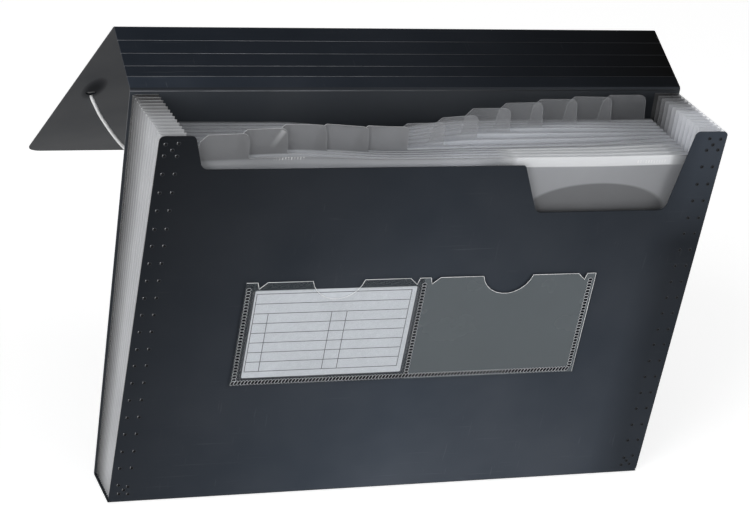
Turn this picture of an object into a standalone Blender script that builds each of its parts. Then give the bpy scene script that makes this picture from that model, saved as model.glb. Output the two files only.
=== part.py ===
"""Expanding file folder with thirteen pockets, standing open with its cover folded back behind it.

One scored plastic sheet makes the front panel, base strip, rear panel, five spine strips and cover flap. Two
pleated gussets join the front and rear panels, and twelve tabbed dividers stand between their folds. The front
carries a clear label pocket with a ruled card, and an elastic cord is knotted through two holes in the flap.
Units are metres: X runs across the file, the front faces -Y, and the base strip rests on Z = 0.
"""

import math

import bmesh
import bpy
from mathutils import Vector

# Cover sheet
COVER_WIDTH = 0.330
PANEL_HEIGHT = 0.238
BASE_DEPTH = 0.034
SPINE_STRIP_LENGTHS = (0.0089, 0.0080, 0.0097, 0.0101, 0.0108)
FLAP_LENGTH = 0.236
FLAP_CORNER_RADIUS = 0.009
PANEL_CORNER_RADIUS = 0.0025
SHEET_THICKNESS = 0.0008

# How far each sheet edge stops short of the axis of its crease
BASE_FOLD_SETBACK = 0.0006
COVER_FOLD_SETBACK = 0.00045
SCORE_SETBACK = 0.0002

# Stance: leans are from upright towards the front, spine and flap angles from level
FRONT_LEAN = math.radians(8.6)
REAR_LEAN = math.radians(1.4)
SPINE_RISE = math.radians(25.1)
FLAP_FALL = math.radians(38.3)

# Cut-out along the top of the front panel: a shallow window with a deeper one at its right
EAR_WIDTH = 0.0195
EAR_CORNER_RADIUS = 0.003
WINDOW_DEPTH = 0.0205
WINDOW_SLANT = 0.006
DEEP_WINDOW_DEPTH = 0.051
DEEP_WINDOW_LEFT = 0.0455
DEEP_WINDOW_LEFT_SLANT = 0.0125
DEEP_WINDOW_RIGHT_SLANT = 0.0075
WINDOW_CORNER_RADIUS = 0.005
WINDOW_STEP_RADIUS = 0.0015

# Dividers and their index tabs
POCKET_COUNT = 13
DIVIDER_THICKNESS = 0.0005
DIVIDER_TOP_DROP = 0.018
DIVIDER_CORNER_RADIUS = 0.002
TAB_HEIGHT = 0.015
TAB_WIDTH = 0.027
TAB_SLANT = 0.0015
TAB_CHAMFER = 0.004
TAB_CHAMFER_RADIUS = 0.0012
TAB_CORNER_RADIUS = 0.004
TAB_ROOT_RADIUS = 0.001
TAB_END_MARGIN = 0.0077

# Pleated gussets
GUSSET_THICKNESS = 0.0003
GUSSET_EDGE_INSET = 0.001
PLEAT_DEPTH = 0.015
GUSSET_FOOT_RISE = 0.0011
GUSSET_FRONT_DROP = 0.0004
GUSSET_REAR_DROP = 0.0030
GUSSET_LEVELS = 6
# Across one pocket: how far along its width, and how far out from the inner fold, the sheet runs
PLEAT_WAVE_SHARES = (
    (0.11, 0.00),
    (0.17, 0.80),
    (0.27, 0.93),
    (0.42, 0.99),
    (0.58, 0.99),
    (0.73, 0.93),
    (0.83, 0.80),
    (0.89, 0.00),
)
FLANGE_END_SHARE = 0.80

# Label pocket and card, measured up from the base crease and across from the cover's left edge
LABEL_LEFT = 0.060
LABEL_WIDTH = 0.209
LABEL_FOOT = 0.0780
LABEL_HEIGHT = 0.0685
LABEL_FILM_THICKNESS = 0.00025
LABEL_SEAM_WIDTH = 0.0042
LABEL_SEAM_MARGIN = 0.0004
LABEL_TAB_WIDTH = 0.0065
LABEL_NOTCH_WIDTH = 0.0012
LABEL_NOTCH_DEPTH = 0.0042
LABEL_CHAMFER_WIDTH = 0.0045
THUMB_NOTCH_WIDTH = 0.0305
THUMB_NOTCH_DEPTH = 0.012
THUMB_NOTCH_OFFSET = 0.0317
CARD_SIDE_CLEARANCE = 0.00165
CARD_TOP_DROP = 0.0056
CARD_THICKNESS = 0.0003
CARD_CORNER_RADIUS = 0.0008

# Elastic cord, its holes and knots
CORD_DIAMETER = 0.0021
CORD_HOLE_RADIUS = 0.003
CORD_HOLE_INSET = 0.0142
CORD_HOLE_REACH = 0.117
CORD_PIVOT_STANDOFF = 0.0019
CORD_TIP_SHARES = ((0.95, 0.30), (0.75, 0.68), (0.40, 0.92))
CORD_POINT_STEP = 0.0058
KNOT_RADIUS = 0.0038
KNOT_HEIGHT = 0.0030
# Left half of the hanging cord, from the pivot at the left hole: inwards, rearwards and up
CORD_ROUTE = (
    (0.0000, 0.0000, 0.0000),
    (0.0005, -0.0013, -0.0017),
    (0.0018, -0.0021, -0.0042),
    (0.0052, -0.0024, -0.0106),
    (0.0097, -0.0024, -0.0173),
    (0.0148, -0.0024, -0.0241),
    (0.0209, -0.0024, -0.0311),
    (0.0298, -0.0024, -0.0396),
    (0.0423, -0.0024, -0.0491),
    (0.0588, -0.0024, -0.0581),
    (0.0798, -0.0024, -0.0659),
    (0.1038, -0.0024, -0.0711),
    (0.1278, -0.0024, -0.0736),
    (0.1508, -0.0024, -0.0743),
)

# Clearance between pieces that touch, and how far a joining solid runs into its neighbour
TOUCH_GAP = 0.0003
JOIN_OVERRUN = 0.0001
ARC_STEP = math.radians(15)
WELD_DISTANCE = 0.000001
KNOT_SEGMENTS = 20
KNOT_RINGS = 12

CHARCOAL = (0.020, 0.022, 0.026, 1.0)
FROSTED = (0.72, 0.74, 0.76, 1.0)
CLEAR = (0.80, 0.82, 0.84, 1.0)
PAPER_WHITE = (0.82, 0.83, 0.84, 1.0)
ELASTIC_WHITE = (0.85, 0.86, 0.88, 1.0)


def clear_scene():
    """Remove whatever the scene holds."""
    for obj in list(bpy.data.objects):
        bpy.data.objects.remove(obj, do_unlink=True)


def new_collection(name, hidden=False):
    """Add a collection to the scene."""
    collection = bpy.data.collections.new(name)
    collection.hide_render = hidden
    bpy.context.scene.collection.children.link(collection)
    return collection


def plastic(name, colour, roughness, alpha=1.0):
    """Make a Principled material for a plastic, paper or elastic piece."""
    material = bpy.data.materials.new(name)
    material.use_nodes = True
    shader = material.node_tree.nodes["Principled BSDF"]
    shader.inputs["Base Color"].default_value = colour
    shader.inputs["Roughness"].default_value = roughness
    shader.inputs["Metallic"].default_value = 0.0
    shader.inputs["Alpha"].default_value = alpha
    return material


def rounded_outline(corners):
    """Turn (x, y, radius) corners into outline points, with an arc at each corner that has a radius."""
    points = []
    for index, (x, y, radius) in enumerate(corners):
        corner = Vector((x, y))
        if radius == 0:
            points.append(corner)
            continue
        before = (Vector(corners[index - 1][:2]) - corner).normalized()
        after = (Vector(corners[(index + 1) % len(corners)][:2]) - corner).normalized()
        half_angle = before.angle(after) / 2
        centre = corner + (before + after).normalized() * radius / math.sin(half_angle)
        tangent_length = radius / math.tan(half_angle)
        start = corner + before * tangent_length - centre
        end = corner + after * tangent_length - centre
        sweep = start.angle_signed(end)
        steps = max(1, math.ceil(abs(sweep) / ARC_STEP))
        for step in range(steps + 1):
            turn = -sweep * step / steps
            points.append(
                centre
                + Vector(
                    (
                        start.x * math.cos(turn) - start.y * math.sin(turn),
                        start.x * math.sin(turn) + start.y * math.cos(turn),
                    )
                )
            )
    return points


def circle_outline(x, y, radius):
    """Points of a full circle."""
    count = round(math.tau / ARC_STEP)
    return [
        Vector((x + radius * math.cos(math.tau * i / count), y + radius * math.sin(math.tau * i / count)))
        for i in range(count)
    ]


def sheet(name, loops, thickness, material, collection, offset=0.0):
    """A flat sheet cut to an outline, with any further loops as holes, centred on its own plane plus offset."""
    curve = bpy.data.curves.new(name, "CURVE")
    curve.dimensions = "2D"
    curve.fill_mode = "BOTH"
    curve.extrude = thickness / 2
    for loop in loops:
        spline = curve.splines.new("POLY")
        spline.points.add(len(loop) - 1)
        for point, place in zip(spline.points, loop):
            point.co = (place.x, place.y, offset, 1.0)
        spline.use_cyclic_u = True
    curve.materials.append(material)
    obj = bpy.data.objects.new(name, curve)
    collection.objects.link(obj)
    return obj


def hinge_to(obj, parent, reach, turn):
    """Set a sheet's origin on the crease that lies at a reach along its parent, turned about that crease."""
    obj.parent = parent
    obj.location = (0.0, reach, 0.0)
    obj.rotation_euler = (turn, 0.0, 0.0)


def as_mesh(obj):
    """Replace a curve object by the mesh it makes, with its caps welded."""
    bpy.context.view_layer.update()
    graph = bpy.context.evaluated_depsgraph_get()
    mesh = bpy.data.meshes.new_from_object(obj.evaluated_get(graph))
    builder = bmesh.new()
    builder.from_mesh(mesh)
    bmesh.ops.remove_doubles(builder, verts=builder.verts, dist=WELD_DISTANCE)
    builder.to_mesh(mesh)
    builder.free()
    solid = bpy.data.objects.new(obj.name, mesh)
    solid.matrix_world = obj.matrix_world
    for collection in obj.users_collection:
        collection.objects.link(solid)
    name = obj.name
    bpy.data.objects.remove(obj, do_unlink=True)
    solid.name = name
    return solid


def box(name, low, high, collection):
    """A box between two corners, made from a cube."""
    mesh = bpy.data.meshes.new(name)
    builder = bmesh.new()
    bmesh.ops.create_cube(builder, size=1.0)
    low, high = Vector(low), Vector(high)
    bmesh.ops.scale(builder, vec=high - low, verts=builder.verts)
    bmesh.ops.translate(builder, vec=(low + high) / 2, verts=builder.verts)
    builder.to_mesh(mesh)
    builder.free()
    obj = bpy.data.objects.new(name, mesh)
    collection.objects.link(obj)
    return obj


def join_with(obj, other):
    """Join another solid to this one with a Boolean union, and keep the other as a hidden helper."""
    other.display_type = "WIRE"
    other.hide_render = True
    modifier = obj.modifiers.new("join " + other.name, "BOOLEAN")
    modifier.operation = "UNION"
    modifier.object = other


def panel_outline(near, far, far_radius=0.0):
    """Outline of a full-width rectangular panel between two distances from its crease."""
    half = COVER_WIDTH / 2
    return rounded_outline([(-half, near, 0), (half, near, 0), (half, far, far_radius), (-half, far, far_radius)])


def base_strip(material, collection):
    """The strip that the file stands on."""
    reach = BASE_DEPTH / 2 - BASE_FOLD_SETBACK
    obj = sheet("base_strip", [panel_outline(-reach, reach)], SHEET_THICKNESS, material, collection)
    obj.location = (0.0, 0.0, SHEET_THICKNESS / 2)
    return obj


def front_panel(base, material, collection):
    """The front, leaning forwards, with the stepped cut-out that shows the index tabs."""
    left, right = -COVER_WIDTH / 2, COVER_WIDTH / 2
    window_floor = PANEL_HEIGHT - WINDOW_DEPTH
    deep_floor = PANEL_HEIGHT - DEEP_WINDOW_DEPTH
    deep_right = right - EAR_WIDTH - DEEP_WINDOW_RIGHT_SLANT
    step = DEEP_WINDOW_LEFT
    corners = [
        (left, BASE_FOLD_SETBACK, PANEL_CORNER_RADIUS),
        (right, BASE_FOLD_SETBACK, PANEL_CORNER_RADIUS),
        (right, PANEL_HEIGHT, PANEL_CORNER_RADIUS),
        (right - EAR_WIDTH, PANEL_HEIGHT, EAR_CORNER_RADIUS),
        (deep_right, deep_floor, WINDOW_CORNER_RADIUS),
        (step + DEEP_WINDOW_LEFT_SLANT, deep_floor, WINDOW_CORNER_RADIUS),
        (step, window_floor, WINDOW_STEP_RADIUS),
        (left + EAR_WIDTH + WINDOW_SLANT, window_floor, WINDOW_CORNER_RADIUS),
        (left + EAR_WIDTH, PANEL_HEIGHT, EAR_CORNER_RADIUS),
        (left, PANEL_HEIGHT, EAR_CORNER_RADIUS),
    ]
    obj = sheet("front_panel", [rounded_outline(corners)], SHEET_THICKNESS, material, collection)
    hinge_to(obj, base, -BASE_DEPTH / 2, math.pi / 2 + FRONT_LEAN)
    return obj


def rear_panel(base, material, collection):
    """The back of the file, almost upright."""
    outline = panel_outline(BASE_FOLD_SETBACK, PANEL_HEIGHT - COVER_FOLD_SETBACK)
    obj = sheet("rear_panel", [outline], SHEET_THICKNESS, material, collection)
    hinge_to(obj, base, BASE_DEPTH / 2, math.pi / 2 + REAR_LEAN)
    return obj


def spine_strips(rear, material, collection):
    """The scored strips of the spine, each hinged to the one before it, laid straight out behind."""
    strips = []
    for index, length in enumerate(SPINE_STRIP_LENGTHS):
        near = SCORE_SETBACK if index else COVER_FOLD_SETBACK
        last = index == len(SPINE_STRIP_LENGTHS) - 1
        far = length - (COVER_FOLD_SETBACK if last else SCORE_SETBACK)
        name = f"spine_strip_{index + 1}"
        obj = sheet(name, [panel_outline(near, far)], SHEET_THICKNESS, material, collection)
        if index:
            hinge_to(obj, strips[-1], SPINE_STRIP_LENGTHS[index - 1], 0.0)
        else:
            hinge_to(obj, rear, PANEL_HEIGHT, SPINE_RISE - REAR_LEAN - math.pi / 2)
        strips.append(obj)
    return strips


def cover_flap(last_strip, material, collection):
    """The flap that closes over the front, here fallen back behind, with its two cord holes."""
    outline = panel_outline(COVER_FOLD_SETBACK, FLAP_LENGTH, FLAP_CORNER_RADIUS)
    hole_x = COVER_WIDTH / 2 - CORD_HOLE_INSET
    holes = [circle_outline(side * hole_x, CORD_HOLE_REACH, CORD_HOLE_RADIUS) for side in (-1, 1)]
    obj = sheet("cover_flap", [outline, *holes], SHEET_THICKNESS, material, collection)
    hinge_to(obj, last_strip, SPINE_STRIP_LENGTHS[-1], -SPINE_RISE - FLAP_FALL)
    return obj


def panel_point(side, rise):
    """A point inside the front (side -1) or rear (side 1) panel, at a rise along it, where a gusset flange lies."""
    lean = FRONT_LEAN if side < 0 else REAR_LEAN
    inset = SHEET_THICKNESS / 2 + TOUCH_GAP + GUSSET_THICKNESS / 2
    y = side * BASE_DEPTH / 2 - rise * math.sin(lean) - side * inset
    return Vector((0.0, y, SHEET_THICKNESS / 2 + rise * math.cos(lean)))


def pocket_point(share, rise):
    """A point at a share of the way from the front flange to the rear one, at a rise along the panels."""
    return panel_point(-1, rise).lerp(panel_point(1, rise), share)


def inner_fold_x():
    """How far from the middle the inner folds of the gussets stand."""
    return COVER_WIDTH / 2 - GUSSET_EDGE_INSET - PLEAT_DEPTH


def divider(number, material, collection):
    """One divider, hinged at its foot, with its index tab at this divider's step."""
    share = number / POCKET_COUNT
    foot = pocket_point(share, SHEET_THICKNESS / 2 + TOUCH_GAP)
    head = pocket_point(share, PANEL_HEIGHT)
    half = inner_fold_x() - GUSSET_THICKNESS / 2 - TOUCH_GAP
    top = PANEL_HEIGHT - DIVIDER_TOP_DROP
    tab_travel = 2 * (half - TAB_END_MARGIN) - TAB_WIDTH
    tab_left = -half + TAB_END_MARGIN + tab_travel * (number - 1) / (POCKET_COUNT - 2)
    tab_right = tab_left + TAB_WIDTH
    corners = [
        (-half, 0, 0),
        (half, 0, 0),
        (half, top, DIVIDER_CORNER_RADIUS),
        (tab_right + TAB_SLANT, top, TAB_ROOT_RADIUS),
        (tab_right, top + TAB_HEIGHT, TAB_CORNER_RADIUS),
        (tab_left + TAB_CHAMFER, top + TAB_HEIGHT, TAB_CHAMFER_RADIUS),
        (tab_left, top + TAB_HEIGHT - TAB_CHAMFER, TAB_CHAMFER_RADIUS),
        (tab_left - TAB_SLANT, top, TAB_ROOT_RADIUS),
        (-half, top, DIVIDER_CORNER_RADIUS),
    ]
    name = f"divider_{number:02d}"
    obj = sheet(name, [rounded_outline(corners)], DIVIDER_THICKNESS, material, collection)
    obj.location = foot
    obj.rotation_euler = (math.atan2(head.z - foot.z, head.y - foot.y), 0.0, 0.0)
    return obj


def pleat_line():
    """The gusset's run from front to rear, as (share of the depth, share of the pleat depth) points."""
    line = []
    for pocket in range(POCKET_COUNT):
        for along, out in PLEAT_WAVE_SHARES:
            line.append([(pocket + along) / POCKET_COUNT, out])
    line[0][0] = 0.0
    line[1] = [0.0, FLANGE_END_SHARE]
    line[-2] = [1.0, FLANGE_END_SHARE]
    line[-1][0] = 1.0
    return line


def gusset(name, side, material, collection):
    """One pleated side: a surface lofted up the panels, a fold out at each pocket and in at each divider."""
    mesh = bpy.data.meshes.new(name)
    builder = bmesh.new()
    line = pleat_line()
    rows = []
    for level in range(GUSSET_LEVELS):
        row = []
        for share, out in line:
            top_drop = GUSSET_FRONT_DROP + (GUSSET_REAR_DROP - GUSSET_FRONT_DROP) * share
            rise_span = PANEL_HEIGHT - top_drop - GUSSET_FOOT_RISE
            rise = GUSSET_FOOT_RISE + rise_span * level / (GUSSET_LEVELS - 1)
            point = pocket_point(share, rise)
            point.x = side * (inner_fold_x() + PLEAT_DEPTH * out)
            row.append(builder.verts.new(point))
        rows.append(row)
    for lower, upper in zip(rows, rows[1:]):
        for i in range(len(line) - 1):
            builder.faces.new((lower[i], lower[i + 1], upper[i + 1], upper[i]))
    bmesh.ops.recalc_face_normals(builder, faces=builder.faces)
    builder.to_mesh(mesh)
    builder.free()
    mesh.materials.append(material)
    obj = bpy.data.objects.new(name, mesh)
    collection.objects.link(obj)
    wall = obj.modifiers.new("wall", "SOLIDIFY")
    wall.thickness = GUSSET_THICKNESS
    wall.offset = 0.0
    wall.use_even_offset = True
    return obj


def label_top(left, right, top):
    """Top edge of one half of the label pocket, from right to left: side cuts and a thumb notch."""
    notch_low = top - LABEL_NOTCH_DEPTH
    thumb_left = left + THUMB_NOTCH_OFFSET
    radius = (THUMB_NOTCH_WIDTH**2 / 4 + THUMB_NOTCH_DEPTH**2) / (2 * THUMB_NOTCH_DEPTH)
    centre = Vector((thumb_left + THUMB_NOTCH_WIDTH / 2, top - THUMB_NOTCH_DEPTH + radius))
    reach = math.asin(THUMB_NOTCH_WIDTH / 2 / radius)
    steps = math.ceil(2 * reach / ARC_STEP)
    points = [Vector((right, notch_low)), Vector((right - LABEL_CHAMFER_WIDTH, top))]
    for step in range(steps + 1):
        angle = reach - 2 * reach * step / steps
        points.append(centre + radius * Vector((math.sin(angle), -math.cos(angle))))
    points.append(Vector((left + LABEL_NOTCH_WIDTH + LABEL_CHAMFER_WIDTH, top)))
    points.append(Vector((left + LABEL_NOTCH_WIDTH, notch_low)))
    return points


def label_pocket(front, material, collection, helpers):
    """The clear film, welded round three sides and down its middle, open along its top."""
    left = LABEL_LEFT - COVER_WIDTH / 2
    right = left + LABEL_WIDTH
    middle = (left + right) / 2
    top = LABEL_FOOT + LABEL_HEIGHT
    outline = [Vector((left, LABEL_FOOT)), Vector((right, LABEL_FOOT)), Vector((right, top))]
    outline.append(Vector((right - LABEL_TAB_WIDTH + LABEL_NOTCH_WIDTH, top)))
    outline += label_top(middle + LABEL_TAB_WIDTH / 2, right - LABEL_TAB_WIDTH, top)
    outline.append(Vector((middle + LABEL_TAB_WIDTH / 2, top)))
    outline.append(Vector((middle - LABEL_TAB_WIDTH / 2, top)))
    outline += label_top(left + LABEL_TAB_WIDTH, middle - LABEL_TAB_WIDTH / 2 - LABEL_NOTCH_WIDTH, top)
    outline += [Vector((left + LABEL_TAB_WIDTH, top)), Vector((left, top))]
    seam_back = SHEET_THICKNESS / 2 + TOUCH_GAP
    film_back = seam_back + CARD_THICKNESS + TOUCH_GAP
    film_middle = film_back + LABEL_FILM_THICKNESS / 2
    film = sheet("label_pocket", [outline], LABEL_FILM_THICKNESS, material, collection, film_middle)
    film = as_mesh(film)
    seam_front = film_back + JOIN_OVERRUN
    foot, head = LABEL_FOOT + LABEL_SEAM_MARGIN, top - LABEL_SEAM_MARGIN
    half = LABEL_SEAM_WIDTH / 2
    outer = half + LABEL_SEAM_MARGIN
    for index, x in enumerate((left + outer, middle, right - outer)):
        low, high = (x - half, foot, seam_back), (x + half, head, seam_front)
        join_with(film, box(f"upright_seam_{index + 1}", low, high, helpers))
    low = (left + LABEL_SEAM_MARGIN, foot, seam_back)
    high = (right - LABEL_SEAM_MARGIN, foot + LABEL_SEAM_WIDTH, seam_front)
    join_with(film, box("foot_seam", low, high, helpers))
    for piece in (film, *helpers.objects):
        hinge_to(piece, front, 0.0, 0.0)
    return film


def index_card(front, material, collection):
    """The ruled card, standing on the foot seam of the label pocket's left half."""
    left_seam = LABEL_LEFT + LABEL_SEAM_MARGIN + LABEL_SEAM_WIDTH
    middle_seam = LABEL_LEFT + LABEL_WIDTH / 2 - LABEL_SEAM_WIDTH / 2
    foot = LABEL_FOOT + LABEL_SEAM_MARGIN + LABEL_SEAM_WIDTH + TOUCH_GAP
    half = (middle_seam - left_seam) / 2 - CARD_SIDE_CLEARANCE
    height = LABEL_FOOT + LABEL_HEIGHT - CARD_TOP_DROP - foot
    radius = CARD_CORNER_RADIUS
    outline = rounded_outline(
        [(-half, 0, radius), (half, 0, radius), (half, height, radius), (-half, height, radius)]
    )
    obj = sheet("index_card", [outline], CARD_THICKNESS, material, collection)
    obj.parent = front
    obj.location = (
        (left_seam + middle_seam - COVER_WIDTH) / 2,
        foot,
        SHEET_THICKNESS / 2 + TOUCH_GAP + CARD_THICKNESS / 2,
    )
    return obj


def cord_knot(name, side, flap, material, collection):
    """The knot on the flap's inner face, turned as one shape with the stub of cord that fills the hole."""
    seat = SHEET_THICKNESS / 2 + TOUCH_GAP
    stub_end = -SHEET_THICKNESS / 2
    stub_radius = CORD_DIAMETER / 2
    steps = KNOT_RINGS
    profile = [Vector((0.0, 0.0, seat + KNOT_HEIGHT))]
    for step in range(1, steps):
        angle = math.pi * step / steps
        radius = KNOT_RADIUS * math.sin(angle)
        height = seat + KNOT_HEIGHT * (1 + math.cos(angle)) / 2
        if step > steps / 2 and radius < stub_radius:
            break
        profile.append(Vector((radius, 0.0, height)))
    profile += [Vector((stub_radius, 0.0, seat)), Vector((stub_radius, 0.0, stub_end))]
    profile.append(Vector((0.0, 0.0, stub_end)))
    mesh = bpy.data.meshes.new(name)
    mesh.from_pydata(profile, [(i, i + 1) for i in range(len(profile) - 1)], [])
    mesh.materials.append(material)
    obj = bpy.data.objects.new(name, mesh)
    collection.objects.link(obj)
    turn = obj.modifiers.new("turn", "SCREW")
    turn.axis = "Z"
    turn.steps = KNOT_SEGMENTS
    turn.render_steps = KNOT_SEGMENTS
    turn.use_smooth_shade = True
    turn.use_merge_vertices = True
    turn.merge_threshold = WELD_DISTANCE
    obj.parent = flap
    obj.location = (side * (COVER_WIDTH / 2 - CORD_HOLE_INSET), CORD_HOLE_REACH, 0.0)
    return obj


def smooth_path(route, step):
    """Points at even steps along a smooth curve through the route's points."""
    ends = [route[0] * 2 - route[1], *route, route[-1] * 2 - route[-2]]
    fine = []
    for a, b, c, d in zip(ends, ends[1:], ends[2:], ends[3:]):
        pieces = max(2, math.ceil((c - b).length / step * 4))
        for piece in range(pieces):
            t = piece / pieces
            bend = (2 * a - 5 * b + 4 * c - d) * t**2 + (3 * b - a - 3 * c + d) * t**3
            fine.append(b + ((c - a) * t + bend) / 2)
    fine.append(route[-1])
    lengths = [0.0]
    for start, end in zip(fine, fine[1:]):
        lengths.append(lengths[-1] + (end - start).length)
    count = round(lengths[-1] / step)
    points, index = [], 0
    for number in range(count + 1):
        goal = lengths[-1] * number / count
        while index < len(lengths) - 2 and lengths[index + 1] < goal:
            index += 1
        share = (goal - lengths[index]) / (lengths[index + 1] - lengths[index])
        points.append(fine[index].lerp(fine[index + 1], share))
    return points, lengths[-1]


def elastic_cord(flap, material, collection):
    """The cord, hanging in one loop between the two holes, with rounded tips that turn at the holes."""
    bpy.context.view_layer.update()
    hole_x = COVER_WIDTH / 2 - CORD_HOLE_INSET
    pivot = flap.matrix_world @ Vector((-hole_x, CORD_HOLE_REACH, -CORD_PIVOT_STANDOFF))
    left = [Vector(place) for place in CORD_ROUTE]
    right = [Vector((2 * hole_x - p.x, p.y, p.z)) for p in reversed(left[:-1])]
    points, length = smooth_path(left + right, CORD_POINT_STEP)
    radius = CORD_DIAMETER / 2
    outward = (flap.matrix_world.to_3x3() @ Vector((0.0, 0.0, 1.0))).normalized()
    ends = [(back * radius, narrow) for back, narrow in CORD_TIP_SHARES]
    places = [(points[0] + outward * back, narrow) for back, narrow in ends]
    places += [(point, 1.0) for point in points]
    places += [(points[-1] + outward * back, narrow) for back, narrow in reversed(ends)]
    curve = bpy.data.curves.new("elastic_cord", "CURVE")
    curve.dimensions = "3D"
    curve.bevel_depth = radius
    curve.bevel_resolution = 2
    curve.use_fill_caps = True
    spline = curve.splines.new("POLY")
    spline.points.add(len(places) - 1)
    for point, (place, narrow) in zip(spline.points, places):
        point.co = (*place, 1.0)
        point.radius = narrow
    curve.materials.append(material)
    obj = bpy.data.objects.new("elastic_cord", curve)
    collection.objects.link(obj)
    obj.location = pivot
    print(f"elastic cord length {length:.4f} m in {len(places)} points")
    return obj


def main():
    """Build the file, standing open."""
    clear_scene()
    parts = new_collection("expanding_file")
    helpers = new_collection("joining_solids", hidden=True)
    cover = plastic("charcoal cover", CHARCOAL, 0.42)
    frosted = plastic("frosted sheet", FROSTED, 0.35, 0.55)
    clear = plastic("clear film", CLEAR, 0.12, 0.3)
    paper = plastic("card", PAPER_WHITE, 0.7)
    elastic = plastic("elastic", ELASTIC_WHITE, 0.65)
    base = base_strip(cover, parts)
    front = front_panel(base, cover, parts)
    rear = rear_panel(base, cover, parts)
    strips = spine_strips(rear, cover, parts)
    flap = cover_flap(strips[-1], cover, parts)
    for number in range(1, POCKET_COUNT):
        divider(number, frosted, parts)
    gusset("gusset_left", -1, frosted, parts)
    gusset("gusset_right", 1, frosted, parts)
    label_pocket(front, clear, parts, helpers)
    index_card(front, paper, parts)
    cord_knot("cord_knot_left", -1, flap, elastic, parts)
    cord_knot("cord_knot_right", 1, flap, elastic, parts)
    elastic_cord(flap, elastic, parts)


main()
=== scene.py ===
"""Look of the expanding file folder, standing open with its cover fallen back behind it.

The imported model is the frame. This script dresses its sheets, and adds the pleated gussets, the plastic webs at the
creases, the weld marks, the label pocket's seams, the braided cord with its knots, the studio and the camera.
Units are metres: X runs across the file, its front faces -Y, and it stands on Z = 0.

In each finish, scales says how many grains and how many soft patches there are to the metre, and relief gives the
grain's rise and how much of it shows. Roughness is a pair where it varies: its least and its greatest value.
"""

import logging
import math
from dataclasses import dataclass, replace
from enum import Enum
from functools import cache, reduce
from typing import Callable, Sequence

import bmesh
import bpy
from mathutils import Matrix, Vector


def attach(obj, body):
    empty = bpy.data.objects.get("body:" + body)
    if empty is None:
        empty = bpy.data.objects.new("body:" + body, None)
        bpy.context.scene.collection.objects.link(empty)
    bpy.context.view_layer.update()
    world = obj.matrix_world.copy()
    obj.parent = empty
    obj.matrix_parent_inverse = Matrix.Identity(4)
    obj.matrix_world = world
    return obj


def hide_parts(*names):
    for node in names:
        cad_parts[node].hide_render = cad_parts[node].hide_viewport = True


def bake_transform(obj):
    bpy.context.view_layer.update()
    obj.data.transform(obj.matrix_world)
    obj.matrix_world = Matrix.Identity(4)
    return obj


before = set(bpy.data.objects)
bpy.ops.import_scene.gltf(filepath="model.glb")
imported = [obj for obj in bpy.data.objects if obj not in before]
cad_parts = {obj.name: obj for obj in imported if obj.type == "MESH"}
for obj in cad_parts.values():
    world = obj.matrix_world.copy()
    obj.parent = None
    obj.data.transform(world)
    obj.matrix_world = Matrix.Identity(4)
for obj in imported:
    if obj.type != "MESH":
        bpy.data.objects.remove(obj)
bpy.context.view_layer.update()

LOG = logging.getLogger("expanding_file")

Triple = tuple[float, float, float]
Pair = tuple[float, float]
Mesh = bmesh.types.BMesh
Material = bpy.types.Material
Socket = bpy.types.NodeSocket
Body = Callable[..., Sequence[Socket]]
FILM_MOTTLE = (-0.02, 0.03)
WELD_DISTANCE = 0.00001
FLAT_ANGLE = math.radians(1.0)


class Side(Enum):
    """The two ends of the file, as the sign of X."""

    LEFT = -1
    RIGHT = 1


class Slot(Enum):
    """The record's material slots."""

    COVER = "cover_sheet"
    FROSTED = "frosted_sheet"
    FILM = "clear_film"
    CARD = "card_stock"
    ELASTIC = "elastic"


@dataclass(frozen=True)
class Plane:
    """A flat sheet's place: the middle of its crease, and the direction that it runs in from there.

    Attributes:
        y: Where the crease lies from front to rear.
        z: How high the crease lies.
        angle: Direction of the sheet from level, turned from +Y towards +Z.
    """

    y: float
    z: float
    angle: float

    @property
    def along(self) -> Vector:
        """Direction that the sheet runs in."""
        return Vector((0.0, math.cos(self.angle), math.sin(self.angle)))

    @property
    def normal(self) -> Vector:
        """Normal of the sheet, a quarter turn on from its run."""
        return Vector((0.0, -math.sin(self.angle), math.cos(self.angle)))

    @property
    def foot(self) -> Vector:
        """Middle of the crease."""
        return Vector((0.0, self.y, self.z))

    def at(self, across: float, along: float, out: float = 0.0) -> Vector:
        """Give the point at a place across the sheet, along it and out of its middle plane."""
        return Vector((across, 0.0, 0.0)) + self.foot + self.along * along + self.normal * out

    def turned(self, angle: float) -> "Plane":
        """Give the plane that runs from the same crease at another angle."""
        return Plane(self.y, self.z, angle)


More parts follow.
